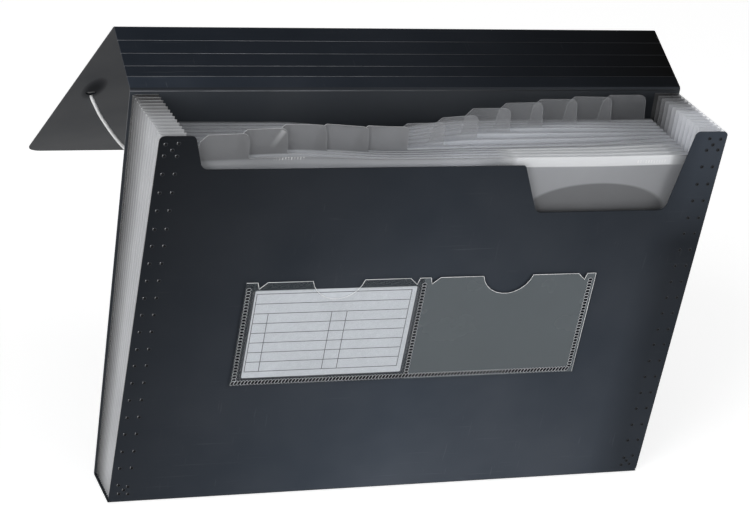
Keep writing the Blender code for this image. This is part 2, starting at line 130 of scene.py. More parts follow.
@dataclass(frozen=True)
class FileSizes:
    """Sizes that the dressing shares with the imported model."""

    cover_width: float = 0.330
    panel_height: float = 0.238
    base_depth: float = 0.034
    sheet: float = 0.0008
    strips: tuple[float, ...] = (0.0089, 0.0080, 0.0097, 0.0101, 0.0108)
    front_lean: float = math.radians(8.6)
    rear_lean: float = math.radians(1.4)
    spine_rise: float = math.radians(25.1)
    flap_fall: float = math.radians(38.3)
    hole_inset: float = 0.0142
    hole_reach: float = 0.117
    touch_gap: float = 0.0003

    @property
    def base(self) -> Plane:
        """The base strip, from its front crease."""
        return Plane(-self.base_depth / 2, self.sheet / 2, 0.0)

    @property
    def front(self) -> Plane:
        """The front panel."""
        return self.base.turned(math.pi / 2 + self.front_lean)

    @property
    def rear(self) -> Plane:
        """The rear panel."""
        return Plane(self.base_depth / 2, self.sheet / 2, math.pi / 2 + self.rear_lean)

    def strip(self, index: int) -> Plane:
        """Give a spine strip's plane; the index after the last strip gives the ridge."""
        start = self.rear.at(0.0, self.panel_height)
        place = Plane(start.y, start.z, self.spine_rise).at(0.0, sum(self.strips[:index]))
        return Plane(place.y, place.z, self.spine_rise)

    @property
    def flap(self) -> Plane:
        """The cover flap."""
        return self.strip(len(self.strips)).turned(-self.flap_fall)

    @property
    def half(self) -> float:
        """Half the cover's width."""
        return self.cover_width / 2

    @property
    def hole_x(self) -> float:
        """Distance of the cord's holes from the middle."""
        return self.half - self.hole_inset


SIZES = FileSizes()


class Graph:
    """Adds nodes to the tree of a material, a shader group or the world."""

    def __init__(self, tree: bpy.types.NodeTree) -> None:
        """Keep the tree that nodes are added to."""
        self.tree = tree

    def feed(self, socket: Socket, value: object) -> None:
        """Link a socket to another, or set it to a plain value.

        Args:
            socket: The input that is fed.
            value: An output socket, a number, a vector or a colour.
        """
        if isinstance(value, Socket):
            self.tree.links.new(value, socket)
        else:
            socket.default_value = (*value, 1.0) if socket.type == "RGBA" else value

    def add(self, kind: str, feeds: dict[str | int, object] | None = None, **settings: object) -> bpy.types.Node:
        """Add a node.

        Args:
            kind: Its type, without the word ShaderNode.
            feeds: What feeds its inputs, by name or number.
            settings: Its other properties.

        Returns:
            The node.
        """
        node = self.tree.nodes.new("ShaderNode" + kind)
        for name, value in settings.items():
            setattr(node, name, value)
        for name, value in (feeds or {}).items():
            self.feed(node.inputs[name], value)
        return node

    def math(self, operation: str, *values: object, clamp: bool = False) -> Socket:
        """Add a Math node, whose result is kept from 0 to 1 with clamp."""
        return self.add("Math", dict(enumerate(values)), operation=operation, use_clamp=clamp).outputs[0]

    def times(self, *values: object) -> Socket:
        """Multiply numbers together."""
        return reduce(lambda a, b: self.math("MULTIPLY", a, b), values)

    def plus(self, *values: object) -> Socket:
        """Add numbers together."""
        return reduce(lambda a, b: self.math("ADD", a, b), values)

    def most(self, *values: object) -> Socket:
        """Give the largest of some numbers."""
        return reduce(lambda a, b: self.math("MAXIMUM", a, b), values)

    def minus(self, a: object, b: object) -> Socket:
        """Subtract the second number from the first."""
        return self.math("SUBTRACT", a, b)

    def dot(self, a: object, b: object) -> Socket:
        """Give the dot product of two vectors."""
        return self.add("VectorMath", {0: a, 1: b}, operation="DOT_PRODUCT").outputs["Value"]

    def vector(self, operation: str, a: object, b: object) -> Socket:
        """Add a Vector Math node with two inputs."""
        return self.add("VectorMath", {0: a, 1: b}, operation=operation).outputs["Vector"]

    def scale(self, vector: object, share: object) -> Socket:
        """Multiply a vector or a colour by a number."""
        return self.add("VectorMath", {"Vector": vector, "Scale": share}, operation="SCALE").outputs["Vector"]

    def ramp(self, value: object, low: float, high: float, to_low: float, to_high: float) -> Socket:
        """Map a value's range from low to high onto another, clamped at both ends."""
        limits = {"Value": value, "From Min": low, "From Max": high, "To Min": to_low, "To Max": to_high}
        return self.add("MapRange", limits).outputs["Result"]

    def inside(self, value: object, low: float, high: float) -> Socket:
        """Give 1 where a value is between two limits."""
        return self.times(self.math("GREATER_THAN", value, low), self.math("LESS_THAN", value, high))

    def blend(self, share: object, a: object, b: object) -> Socket:
        """Mix two colours, with share from 0 to 1 of the second."""
        return self.add("Mix", {"Factor": share, 6: a, 7: b}, data_type="RGBA").outputs[2]

    def noise(self, place: object, scale: object, detail: float = 2.0, roughness: float = 0.5) -> Socket:
        """Add a noise texture with so many features to the metre."""
        feeds = {"Vector": place, "Scale": scale, "Detail": detail, "Roughness": roughness}
        return self.add("TexNoise", feeds).outputs["Fac"]

    def place(self) -> Socket:
        """Give the coordinates that stay with the piece."""
        return self.add("TexCoord").outputs["Object"]

    def across(self) -> Socket:
        """Give how far along X a point is."""
        return self.add("SeparateXYZ", {0: self.place()}).outputs[0]

    def out_of(self, plane: Plane) -> Socket:
        """Give how far a point is out of a plane, towards its normal."""
        return self.dot(self.vector("SUBTRACT", self.place(), plane.foot[:]), plane.normal[:])

    def away(self, along: object, middle: Pair, reach: Pair) -> Socket:
        """Give how far a point is from the middle of an oval on a sheet.

        Args:
            along: How far up the sheet the point is.
            middle: The oval's middle, across and along.
            reach: Half its width and half its height.

        Returns:
            The squared distance, which is 1 on the oval's rim.
        """
        shares = [
            self.math("DIVIDE", self.minus(value, centre), half)
            for value, centre, half in zip((self.across(), along), middle, reach)
        ]
        return self.plus(*(self.math("POWER", share, 2.0) for share in shares))

    def use(self, group: bpy.types.NodeTree, **values: object) -> Sequence[Socket]:
        """Place a shader group, with inputs named with underscores for spaces, and give its outputs."""
        feeds = {name.replace("_", " "): value for name, value in values.items()}
        return self.add("Group", feeds, node_tree=group).outputs[:]

    def grained(self, scales: Pair) -> Sequence[Socket]:
        """Give the grain's height and the mottle, with so many grains and soft patches to the metre."""
        return self.use(moulded_grain(), Grain_Scale=scales[0], Mottle_Scale=scales[1])

    def spot(self, plane: Plane) -> Sequence[Socket]:
        """Give how far up a sheet a point is, and 1 where it lies on one of the sheet's cut edges."""
        return self.use(sheet_place(), Foot=plane.foot[:], Run=plane.along[:], Normal=plane.normal[:])


class MaterialGraph(Graph):
    """A material's graph, with its Principled shader."""

    def __init__(self, name: str) -> None:
        """Start a material of this name."""
        self.material = bpy.data.materials.new(name)
        self.material.use_nodes = True
        super().__init__(self.material.node_tree)
        self.shader = self.tree.nodes["Principled BSDF"]

    def give(self, **values: object) -> None:
        """Feed the shader's inputs, named with underscores for spaces."""
        for name, value in values.items():
            self.feed(self.shader.inputs[name.replace("_", " ")], value)

    def bump(self, height: object, distance: float, strength: float) -> Material:
        """Feed the shader's normal from a bump.

        Args:
            height: What the surface rises by.
            distance: Rise in metres where height is 1.
            strength: How much of it shows.

        Returns:
            The material, which is finished with it.
        """
        node = self.add("Bump", {"Height": height, "Distance": distance, "Strength": strength})
        self.give(Normal=node.outputs["Normal"])
        return self.material


def make_group(name: str, inputs: dict[str, object], outputs: Sequence[str], body: Body) -> bpy.types.NodeTree:
    """Build a shader group.

    Args:
        name: Its name.
        inputs: Name and starting value of each input.
        outputs: Name of each output, which is a number.
        body: Adds the nodes to a graph, from the inputs' sockets, and returns what feeds each output.

    Returns:
        The group.
    """
    tree = bpy.data.node_groups.new(name, "ShaderNodeTree")
    for label, value in inputs.items():
        kind = "NodeSocketVector" if isinstance(value, tuple) else "NodeSocketFloat"
        tree.interface.new_socket(label, in_out="INPUT", socket_type=kind).default_value = value
    for label in outputs:
        tree.interface.new_socket(label, in_out="OUTPUT", socket_type="NodeSocketFloat")
    entry, leave = (tree.nodes.new(kind) for kind in ("NodeGroupInput", "NodeGroupOutput"))
    graph = Graph(tree)
    for socket, value in zip(leave.inputs, body(graph, *(entry.outputs[label] for label in inputs))):
        graph.feed(socket, value)
    return tree


@cache
def sheet_place() -> bpy.types.NodeTree:
    """Build the group that tells where on a sheet a point is.

    Returns:
        A group with Along, how far up the sheet it is, and Edge, which is 1 on the sheet's cut edges.
    """

    def body(graph: Graph, foot: Socket, run: Socket, normal: Socket) -> Sequence[Socket]:
        along = graph.dot(graph.vector("SUBTRACT", graph.place(), foot), run)
        true_normal = graph.add("NewGeometry").outputs["True Normal"]
        ways = {"vector_type": "NORMAL", "convert_from": "WORLD", "convert_to": "OBJECT"}
        turned = graph.add("VectorTransform", {0: true_normal}, **ways).outputs[0]
        facing = graph.math("ABSOLUTE", graph.dot(turned, normal))
        return along, graph.ramp(facing, 0.2, 0.6, 1.0, 0.0)

    up = (0.0, 0.0, 1.0)
    return make_group("sheet_place", {"Foot": up, "Run": up, "Normal": up}, ("Along", "Edge"), body)


@cache
def moulded_grain() -> bpy.types.NodeTree:
    """Build the fine grain of extruded plastic sheet.

    Returns:
        A group with Height for a bump, and Mottle, a broad soft unevenness.
    """

    def body(graph: Graph, grain_scale: Socket, mottle_scale: Socket) -> Sequence[Socket]:
        place = graph.place()
        fine = graph.noise(place, grain_scale, 2.0, 0.6)
        finer = graph.noise(place, graph.times(grain_scale, 2.7), 1.0)
        height = graph.plus(graph.times(fine, 0.7), graph.times(finer, 0.3))
        mottle = graph.noise(place, mottle_scale, 3.0, 0.55)
        return height, graph.ramp(mottle, 0.3, 0.7, 0.0, 1.0)

    return make_group("moulded_grain", {"Grain Scale": 2200.0, "Mottle Scale": 14.0}, ("Height", "Mottle"), body)


@cache
def handling_wear() -> bpy.types.NodeTree:
    """Build faint handling scratches that run along X and across it.

    Returns:
        A group with Scratch, from 0 to 1.
    """

    def body(graph: Graph, amount: Socket) -> Sequence[Socket]:
        place = graph.place()
        strands = []
        for stretch, level in (((24.0, 900.0, 900.0), 0.69), ((700.0, 60.0, 60.0), 0.71)):
            streak = graph.noise(graph.vector("MULTIPLY", place, stretch), 1.0, 1.0)
            strands.append(graph.ramp(streak, level, level + 0.05, 0.0, 1.0))
        patches = graph.ramp(graph.noise(place, 21.0), 0.45, 0.65, 0.0, 1.0)
        return (graph.math("MULTIPLY", graph.times(graph.most(*strands), patches), amount, clamp=True),)

    return make_group("handling_wear", {"Amount": 0.5}, ("Scratch",), body)


@cache
def braid() -> bpy.types.NodeTree:
    """Build the crossing strands of a braided cord, from its lengthwise and round coordinates.

    Returns:
        A group with Height, and Groove, which is 1 between strands.
    """

    def body(graph: Graph, stitches: Socket, strands: Socket) -> Sequence[Socket]:
        split = graph.add("SeparateXYZ", {0: graph.add("TexCoord").outputs["UV"]})
        length, turn = graph.times(split.outputs[0], stitches), graph.times(split.outputs[1], strands)
        angles = [graph.times(graph.math(way, length, turn), math.tau) for way in ("ADD", "SUBTRACT")]
        height = graph.most(*(graph.math("SINE", angle) for angle in angles))
        return height, graph.ramp(height, -0.2, 0.5, 1.0, 0.0)

    return make_group("braid", {"Stitches": 260.0, "Strands": 4.0}, ("Height", "Groove"), body)


@dataclass(frozen=True)
class CoverPlastic:
    """Charcoal polypropylene sheet with a fine matte grain.

    Attributes:
        painted_light_gains: Painted light and shade: what the colour is multiplied by at the sheet's left side,
            middle and right side.
        foot_light_gain: Painted light: what the colour is multiplied by at the sheet's foot.
        dark_spots: Where soft spots are, darker and rougher than the rest of the sheet, across and along it.
        dark_spot_reach: How far a spot reaches from its middle, across and along the sheet, on its outer face.
        ear_light_gains: Painted light and shade: what the colour is multiplied by down the right flange, at ear_foot
            and at its head.
        ear_width: Where from the right side the flange's gain is full, and where it ends.
    """

    colour: Triple = (0.0078, 0.0102, 0.0142)
    pale: Triple = (0.0138, 0.0165, 0.0215)
    scratch: Triple = (0.040, 0.043, 0.048)
    edge_share: float = 0.5
    roughness: Pair = (0.41, 0.51)
    scratch_roughness: float = 0.2
    dark_spot_roughness: float = 0.6
    specular: float = 0.16
    scales: Pair = (2300.0, 14.0)
    relief: Pair = (0.00003, 0.6)
    wear: float = 0.35
    painted_light_gains: Triple = (1.0, 1.0, 1.0)
    foot_light_gain: float = 1.0
    dark_spots: tuple[Pair, ...] = ()
    dark_spot_reach: Pair = (0.0068, 0.021)
    dark_spot_depth: float = 0.58
    ear_light_gains: Pair = (1.0, 1.0)
    ear_foot: float = 0.165
    ear_width: Pair = (0.014, 0.034)

    def with_painted_light(self, graph: Graph, colour: object, along: object) -> Socket:
        """Paint light and shade into the colour: across the sheet, up it, and down the right flange.

        Args:
            graph: The material's graph.
            colour: The colour before.
            along: How far up the sheet a point is.

        Returns:
            The colour after.
        """
        left, middle, right = self.painted_light_gains
        leftwards = graph.ramp(graph.across(), -SIZES.half, 0.0, left - middle, 0.0)
        rightwards = graph.ramp(graph.across(), 0.0, SIZES.half, middle, right)
        low = graph.ramp(along, 0.0, SIZES.panel_height, self.foot_light_gain, 1.0)
        gain = graph.times(graph.plus(leftwards, rightwards), low)
        if self.ear_light_gains != (1.0, 1.0):
            ear = graph.ramp(along, self.ear_foot, SIZES.panel_height, *(share - 1.0 for share in self.ear_light_gains))
            inner, outer = (SIZES.half - width for width in reversed(self.ear_width))
            beside = graph.ramp(graph.across(), inner, outer, 0.0, 1.0)
            gain = graph.times(gain, graph.math("MULTIPLY_ADD", ear, beside, 1.0))
        return graph.scale(colour, gain)

    def dark_spotted(self, graph: Graph, along: object, plane: Plane) -> object:
        """Give how much darker and rougher the sheet is in its spots, from dark_spot_depth in their middles to 0.

        Args:
            graph: The material's graph.
            along: How far up the sheet a point is.
            plane: The sheet's place.

        Returns:
            The spots' mask.
        """
        if not self.dark_spots:
            return 0.0
        away = [graph.away(along, middle, self.dark_spot_reach) for middle in self.dark_spots]
        mask = graph.most(*(graph.ramp(value, 0.0, 1.0, self.dark_spot_depth, 0.0) for value in away))
        return graph.times(mask, graph.math("LESS_THAN", graph.out_of(plane), 0.0))

    def material(self, name: str, plane: Plane) -> Material:
        """Make the material for one sheet.

        Args:
            name: The material's name.
            plane: The sheet's place, which its edges are told from.

        Returns:
            The material.
        """
        graph = MaterialGraph(name)
        height, mottle = graph.grained(self.scales)
        (scratch,) = graph.use(handling_wear(), Amount=self.wear)
        along, edge = graph.spot(plane)
        colour = graph.blend(mottle, self.colour, self.pale)
        colour = graph.blend(scratch, colour, self.scratch)
        # Cut edges towards the pale colour: partly the whitened cut, partly a painted highlight.
        colour = graph.blend(graph.times(edge, self.edge_share), colour, self.pale)
        spot_mask = self.dark_spotted(graph, along, plane)
        graph.give(Base_Color=graph.scale(self.with_painted_light(graph, colour, along), graph.minus(1.0, spot_mask)))
        rough = graph.ramp(mottle, 0.0, 1.0, *self.roughness)
        rough = graph.plus(rough, graph.times(scratch, self.scratch_roughness))
        rough = graph.math("ADD", rough, graph.times(spot_mask, self.dark_spot_roughness), clamp=True)
        graph.give(Specular_IOR_Level=self.specular, Roughness=rough)
        return graph.bump(height, *self.relief)


@dataclass(frozen=True)
class FoldedPlastic:
    """The thinned plastic of a scored crease, lighter than the sheet: partly stress whitening, partly a painted
    highlight.

    Attributes:
        fade: Where along X the whitening and the painted highlight start to fade, and where they are gone.
    """

    colour: Triple = (0.115, 0.121, 0.132)
    whitened_highlight: Triple = (0.22, 0.228, 0.245)
    crease_without_highlight: Triple = (0.010, 0.011, 0.013)
    fade: Pair = (-0.07, 0.06)
    roughness: float = 0.45
    specular: float = 0.15
    scales: Pair = (900.0, 70.0)
    relief: Pair = (0.00004, 0.5)

    def material(self, name: str) -> Material:
        """Make the material."""
        graph = MaterialGraph(name)
        height, mottle = graph.grained(self.scales)
        colour = graph.blend(mottle, self.colour, self.whitened_highlight)
        # Painted highlight: the crease is light at the left and fades to dark at the right.
        colour = graph.blend(graph.ramp(graph.across(), *self.fade, 0.0, 1.0), colour, self.crease_without_highlight)
        graph.give(Base_Color=colour, Roughness=self.roughness, Specular_IOR_Level=self.specular)
        return graph.bump(height, *self.relief)


@dataclass(frozen=True)
class FrostedPlastic:
    """Translucent frosted polypropylene, clearer face on than at a glancing angle, and brighter on its cut edges, a
    painted highlight of the light caught in them.

    Attributes:
        opacities: How much of the sheet shows face on and at a glancing angle, over facing_span of the view.
        passing: How much of the light on one face is spread out of the other.
        rear_shade: What the colour is multiplied by beside the rear panel, where less light comes through.
        shade_depth: Share of the depth that this shade reaches across, from shade_start on.
        patch: Middle and reach, each across and along, of an oval of painted shade, a darker arch on the sheet.
        patch_shade: What the colour is multiplied by there, inside patch_rim.
        sheen_band: Left end, right end and foot of a band of painted sheen under the head.
        sheen_colour: Colour of that painted sheen.
        sheen_opacity: How much of the band shows.
        body_top: How far up the sheet its body reaches, below the tab; a sheet without a tab has none.
        body_light_gain: What the body's colour is multiplied by: painted light that lifts the shade between the
            stacked sheets.
        body_opacity: How much of each face of the body shows.
        side_shade_gains: What the colour is multiplied by at the left end and at the right end: painted shade that
            darkens both ends.
        left_drift: Between which places along X the left end's gain fades out.
        right_drift: Between which places along X the right end's gain sets in.
        rim_gain: What the colour is multiplied by just above rim_foot, where light from inside reaches the head of
            the front sheet, up to rim_end across.
        gleam: Across and along of both ends of a streak of painted highlight.
        ticks: Left end, right end and foot of each row of small weld ticks.
    """

    colour: Triple = (0.39, 0.398, 0.415)
    pale: Triple = (0.43, 0.439, 0.457)
    edge: Triple = (0.52, 0.53, 0.55)
    roughness: Pair = (0.31, 0.43)
    facing_blend: float = 0.35
    facing_span: Pair = (0.1, 0.95)
    opacities: Pair = (0.25, 0.52)
    edge_opacity: float = 0.55
    passing: float = 0.34
    scales: Pair = (1500.0, 22.0)
    relief: Pair = (0.0000015, 0.5)
    rear_shade: float = 1.0
    shade_start: float = 0.02
    shade_depth: float = 0.60
    patch: tuple[Pair, Pair] | None = None
    patch_shade: float = 0.48
    patch_rim: Pair = (0.92, 1.06)
    sheen_band: Triple | None = None
    sheen_ends: Pair = (0.012, 0.010)
    sheen_fade: float = 0.0006
    sheen_colour: Triple = (0.78, 0.79, 0.805)
    sheen_opacity: float = 0.90
    body_top: float | None = None
    body_fade: Pair = (-0.0002, 0.0008)
    body_light_gain: float = 2.15
    body_opacity: float = 0.66
    side_shade_gains: Pair | None = None
    left_drift: Pair = (-0.11, 0.01)
    right_drift: Pair = (0.03, 0.13)
    rim_gain: float = 1.0
    rim_foot: float = 0.2142
    rim_end: float = 0.035
    rim_fade: float = 0.02
    gleam: tuple[float, float, float, float] | None = None
    gleam_width: Pair = (0.0007, 0.0022)
    gleam_share: float = 0.5
    gleam_tip: float = 0.001
    ticks: tuple[Triple, ...] = ()
    tick_pitch: float = 0.0017
    tick_height: float = 0.0018
    tick_colour: Triple = (0.98, 0.98, 0.98)

    def shaded(self, graph: Graph, colour: object, along: object) -> object:
        """Paint light and shade into the colour: shade beside the rear panel, light in the body, shade at both ends,
        light at the front sheet's head, and shade in the oval.

        Args:
            graph: The material's graph.
            colour: The colour before.
            along: How far up the sheet a point is.

        Returns:
            The colour after.
        """
        if self.rear_shade < 1.0:
            front, rear = graph.times(graph.out_of(SIZES.front), -1.0), graph.out_of(SIZES.rear)
            share = graph.math("DIVIDE", rear, graph.plus(rear, front), clamp=True)
            colour = graph.scale(colour, graph.ramp(share, self.shade_start, self.shade_depth, self.rear_shade, 1.0))
        if self.body_top:
            colour = graph.scale(colour, graph.ramp(self.in_body(graph, along), 0.0, 1.0, 1.0, self.body_light_gain))
        if self.side_shade_gains:
            left, right = self.side_shade_gains
            colour = graph.scale(colour, graph.ramp(graph.across(), *self.left_drift, left, 1.0))
            colour = graph.scale(colour, graph.ramp(graph.across(), *self.right_drift, 1.0, right))
        if self.rim_gain > 1.0:
            rim = graph.ramp(along, self.rim_foot, self.body_top, self.rim_gain - 1.0, 0.0)
            beside = graph.ramp(graph.across(), self.rim_end - self.rim_fade, self.rim_end, 1.0, 0.0)
            colour = graph.scale(colour, graph.math("MULTIPLY_ADD", rim, beside, 1.0))
        # Painted shade in an oval.
        if self.patch:
            away = graph.away(along, *self.patch)
            colour = graph.scale(colour, graph.ramp(away, *self.patch_rim, self.patch_shade, 1.0))
        return colour

    def in_body(self, graph: Graph, along: object) -> Socket:
        """Give 1 in the body of a sheet, and 0 in its tab."""
        return graph.ramp(along, *(self.body_top + fade for fade in self.body_fade), 1.0, 0.0)

    def sheen_mask(self, graph: Graph, along: object) -> Socket:
        """Give 1 in the band of painted sheen, with soft ends, and less in the streak of painted highlight.

        Args:
            graph: The material's graph.
            along: How far up the sheet a point is.

        Returns:
            The mask of both.
        """
        left, right, foot = self.sheen_band
        start = graph.ramp(graph.across(), left, left + self.sheen_ends[0], 0.0, 1.0)
        stop = graph.ramp(graph.across(), right - self.sheen_ends[1], right, 1.0, 0.0)
        band = graph.times(start, stop, graph.ramp(along, foot, foot + self.sheen_fade, 0.0, 1.0))
        if not self.gleam:
            return band
        x, z, end_x, end_z = self.gleam
        length = math.hypot(end_x - x, end_z - z)
        run_x, run_z = (end_x - x) / length, (end_z - z) / length
        u, v = graph.minus(graph.across(), x), graph.minus(along, z)
        forward = graph.plus(graph.times(u, run_x), graph.times(v, run_z))
        aside = graph.math("ABSOLUTE", graph.minus(graph.times(u, run_z), graph.times(v, run_x)))
        streak = graph.times(
            graph.ramp(aside, *self.gleam_width, self.gleam_share, 0.0),
            graph.ramp(forward, 0.0, length, 0.0, 1.0),
            graph.ramp(forward, length - self.gleam_tip, length, 1.0, 0.0),
        )
        return graph.most(band, streak)

    def ticked(self, graph: Graph, along: object) -> Socket:
        """Give 1 in the small weld ticks under the head.

        Args:
            graph: The material's graph.
            along: How far up the sheet a point is.

        Returns:
            The ticks' mask.
        """
        wave = graph.math("SINE", graph.times(graph.across(), math.tau / self.tick_pitch))
        rows = [
            graph.times(graph.inside(graph.across(), left, right), graph.inside(along, foot, foot + self.tick_height))
            for left, right, foot in self.ticks
        ]
        broken = graph.ramp(graph.noise(graph.place(), 700.0), 0.42, 0.58, 0.15, 1.0)
        return graph.times(graph.most(*rows), broken, graph.ramp(wave, 0.0, 0.6, 0.0, 1.0))

    def material(self, name: str, plane: Plane, pleated: bool = False) -> Material:
        """Make the material for one sheet.

        Args:
            name: The material's name.
            plane: The sheet's place, which its edges are told from.
            pleated: Whether the sheet stands across the plane instead of lying in it.

        Returns:
            The material.
        """
        graph = MaterialGraph(name)
        height, mottle = graph.grained(self.scales)
        along, cut = graph.spot(plane)
        if pleated:
            cut = graph.minus(1.0, cut)
        colour = graph.blend(mottle, self.colour, self.pale)
        # Cut edges in the edge colour, a painted highlight.
        colour = graph.blend(cut, self.shaded(graph, colour, along), self.edge)
        edge = graph.times(cut, self.edge_opacity)
        # Painted sheen and highlight, in their own colour and more opaque.
        if self.sheen_band:
            sheen_mask = self.sheen_mask(graph, along)
            colour = graph.blend(sheen_mask, colour, self.sheen_colour)
            edge = graph.most(edge, graph.times(sheen_mask, self.sheen_opacity))
        if self.ticks:
            colour = graph.blend(self.ticked(graph, along), colour, self.tick_colour)
        facing = graph.add("LayerWeight", {"Blend": self.facing_blend}).outputs["Facing"]
        opacity = graph.ramp(facing, *self.facing_span, *self.opacities)
        opacity = graph.plus(opacity, graph.ramp(mottle, 0.0, 1.0, *FILM_MOTTLE))
        if self.body_top:
            opacity = graph.most(opacity, graph.times(self.in_body(graph, along), self.body_opacity))
        opacity = graph.math("MAXIMUM", opacity, edge, clamp=True)
        rough = graph.ramp(mottle, 0.0, 1.0, *self.roughness)
        graph.give(Base_Color=colour, Alpha=opacity, Roughness=rough)
        self.let_light_through(graph, colour, opacity)
        return graph.bump(height, *self.relief)

    def let_light_through(self, graph: MaterialGraph, colour: object, opacity: object) -> None:
        """Mix in light that enters the far face, so that sheets behind one another stay light.

        Args:
            graph: The material's graph.
            colour: The sheet's colour.
            opacity: How much of the sheet shows, which the passing light is held to as well.
        """
        glow = graph.add("BsdfTranslucent", {"Color": colour})
        clear = graph.add("BsdfTransparent")
        veil = graph.add("MixShader", {0: opacity, 1: clear.outputs[0], 2: glow.outputs[0]})
        both = graph.add("MixShader", {0: self.passing, 1: graph.shader.outputs[0], 2: veil.outputs[0]})
        graph.feed(graph.tree.nodes["Material Output"].inputs["Surface"], both.outputs[0])


@dataclass(frozen=True)
class ClearFilm:
    """Clear soft film, hazy in its empty right half and clear in its left one, where it lies over the card.

    Attributes:
        haze: How much of the hazy half shows; thin_haze is for the clear half and clear_haze for the card's place.
        hazy_from: Where the hazy half starts, from the middle of the file.
        card_across: Where the card's sides are, from the middle of the file.
        card_along: Where the card's foot and head are, up from the front crease.
    """

    colour: Triple = (0.077, 0.093, 0.103)
    clear_colour: Triple = (0.60, 0.61, 0.63)
    edge: Triple = (0.12, 0.13, 0.14)
    edge_opacity: float = 0.7
    roughness: Pair = (0.20, 0.30)
    scales: Pair = (45.0, 30.0)
    relief: Pair = (0.00004, 0.3)
    haze: float = 0.86
    thin_haze: float = 0.16
    clear_haze: float = 0.05
    scratch_opacity: float = 0.06
    wear: float = 0.5
    hazy_from: float = -0.0015
    haze_fade: float = 0.001
    card_across: Pair = (-0.1004, -0.0026)
    card_along: Pair = (0.0826, 0.1409)

    def material(self, name: str, plane: Plane) -> Material:
        """Make the material for the film.

        Args:
            name: The material's name.
            plane: The sheet's place, which its edges are told from.

        Returns:
            The material.
        """
        graph = MaterialGraph(name)
        height, mottle = graph.grained(self.scales)
        (scratch,) = graph.use(handling_wear(), Amount=self.wear)
        along, cut = graph.spot(plane)
        beside = graph.inside(graph.across(), *self.card_across)
        clinging = graph.times(beside, graph.inside(along, *self.card_along))
        colour = graph.blend(clinging, self.colour, self.clear_colour)
        hazy_to = self.hazy_from + self.haze_fade
        hazy = graph.ramp(graph.across(), self.hazy_from, hazy_to, self.thin_haze, self.haze)
        opacity = graph.plus(
            graph.math("MINIMUM", hazy, graph.ramp(clinging, 0.0, 1.0, 1.0, self.clear_haze)),
            graph.ramp(mottle, 0.0, 1.0, *FILM_MOTTLE),
            graph.times(scratch, self.scratch_opacity),
        )
        # Cut edges lighter and more opaque: a painted highlight.
        graph.give(
            Base_Color=graph.blend(cut, colour, self.edge),
            Alpha=graph.math("MAXIMUM", opacity, graph.times(cut, self.edge_opacity), clamp=True),
            Roughness=graph.ramp(mottle, 0.0, 1.0, *self.roughness),
        )
        return graph.bump(height, *self.relief)


@dataclass(frozen=True)
class WeldedFilm:
    """Film pressed up by the welding tool, more opaque than the film beside it, and paler: partly the whitened weld,
    partly a painted highlight on its ridges.
    """

    colour: Triple = (0.42, 0.43, 0.45)
    bright: Triple = (0.56, 0.575, 0.60)
    roughness: float = 0.28
    specular: float = 0.5
    scales: Pair = (1200.0, 160.0)
    relief: Pair = (0.00003, 0.4)

    def material(self, name: str) -> Material:
        """Make the material."""
        graph = MaterialGraph(name)
        height, mottle = graph.grained(self.scales)
        colour = graph.blend(mottle, self.colour, self.bright)
        graph.give(Base_Color=colour, Roughness=self.roughness, Specular_IOR_Level=self.specular)
        return graph.bump(height, *self.relief)


@dataclass(frozen=True)
class RuledCard:
    """White card printed with an empty ruled form.

    Attributes:
        sides: Left and right line of the form, from the middle of the file.
        foot: Lowest line, up from the front crease.
        rows: Number of rows.
        row: Height of a row.
        columns: Upright lines inside the form, from the middle of the file.
        line: Width of a line; its ink ends between the shares of it that line_rim gives.
        head_rows: Number of rows at the head that these upright lines leave free.
    """

    paper: Triple = (0.57, 0.60, 0.64)
    fibre: Triple = (0.52, 0.55, 0.59)
    ink: Triple = (0.05, 0.055, 0.065)
    roughness: float = 0.62
    scales: Pair = (1800.0, 400.0)
    relief: Pair = (0.00002, 0.3)
    sides: Pair = (-0.0977, -0.0071)
    foot: float = 0.0871
    rows: int = 8
    row: float = 0.00645
    columns: Triple = (-0.0894, -0.0523, -0.0434)
    line: float = 0.00042
    line_rim: Pair = (0.35, 0.65)
    head_rows: int = 2

    def material(self, name: str, plane: Plane) -> Material:
        """Make the material for the card.

        Args:
            name: The material's name.
            plane: The front panel's place, which the rows are measured up.

        Returns:
            The material.
        """
        graph = MaterialGraph(name)
        height, mottle = graph.grained(self.scales)
        across, along = graph.across(), graph.spot(plane)[0]
        head, half = self.foot + self.rows * self.row, self.line / 2
        wide = graph.inside(across, self.sides[0] - half, self.sides[1] + half)
        tall = graph.inside(along, self.foot - half, head + half)
        table = graph.inside(along, self.foot, head - self.head_rows * self.row)
        marks = [(along, self.foot + number * self.row, wide) for number in range(self.rows + 1)]
        marks += [(across, x, tall) for x in self.sides] + [(across, x, table) for x in self.columns]
        lines = []
        for value, target, reach in marks:
            off = graph.math("ABSOLUTE", graph.minus(value, target))
            ink = graph.ramp(off, *(self.line * rim for rim in self.line_rim), 1.0, 0.0)
            lines.append(graph.times(ink, reach))
        colour = graph.blend(mottle, self.paper, self.fibre)
        graph.give(Base_Color=graph.blend(graph.most(*lines), colour, self.ink), Roughness=self.roughness)
        return graph.bump(height, *self.relief)


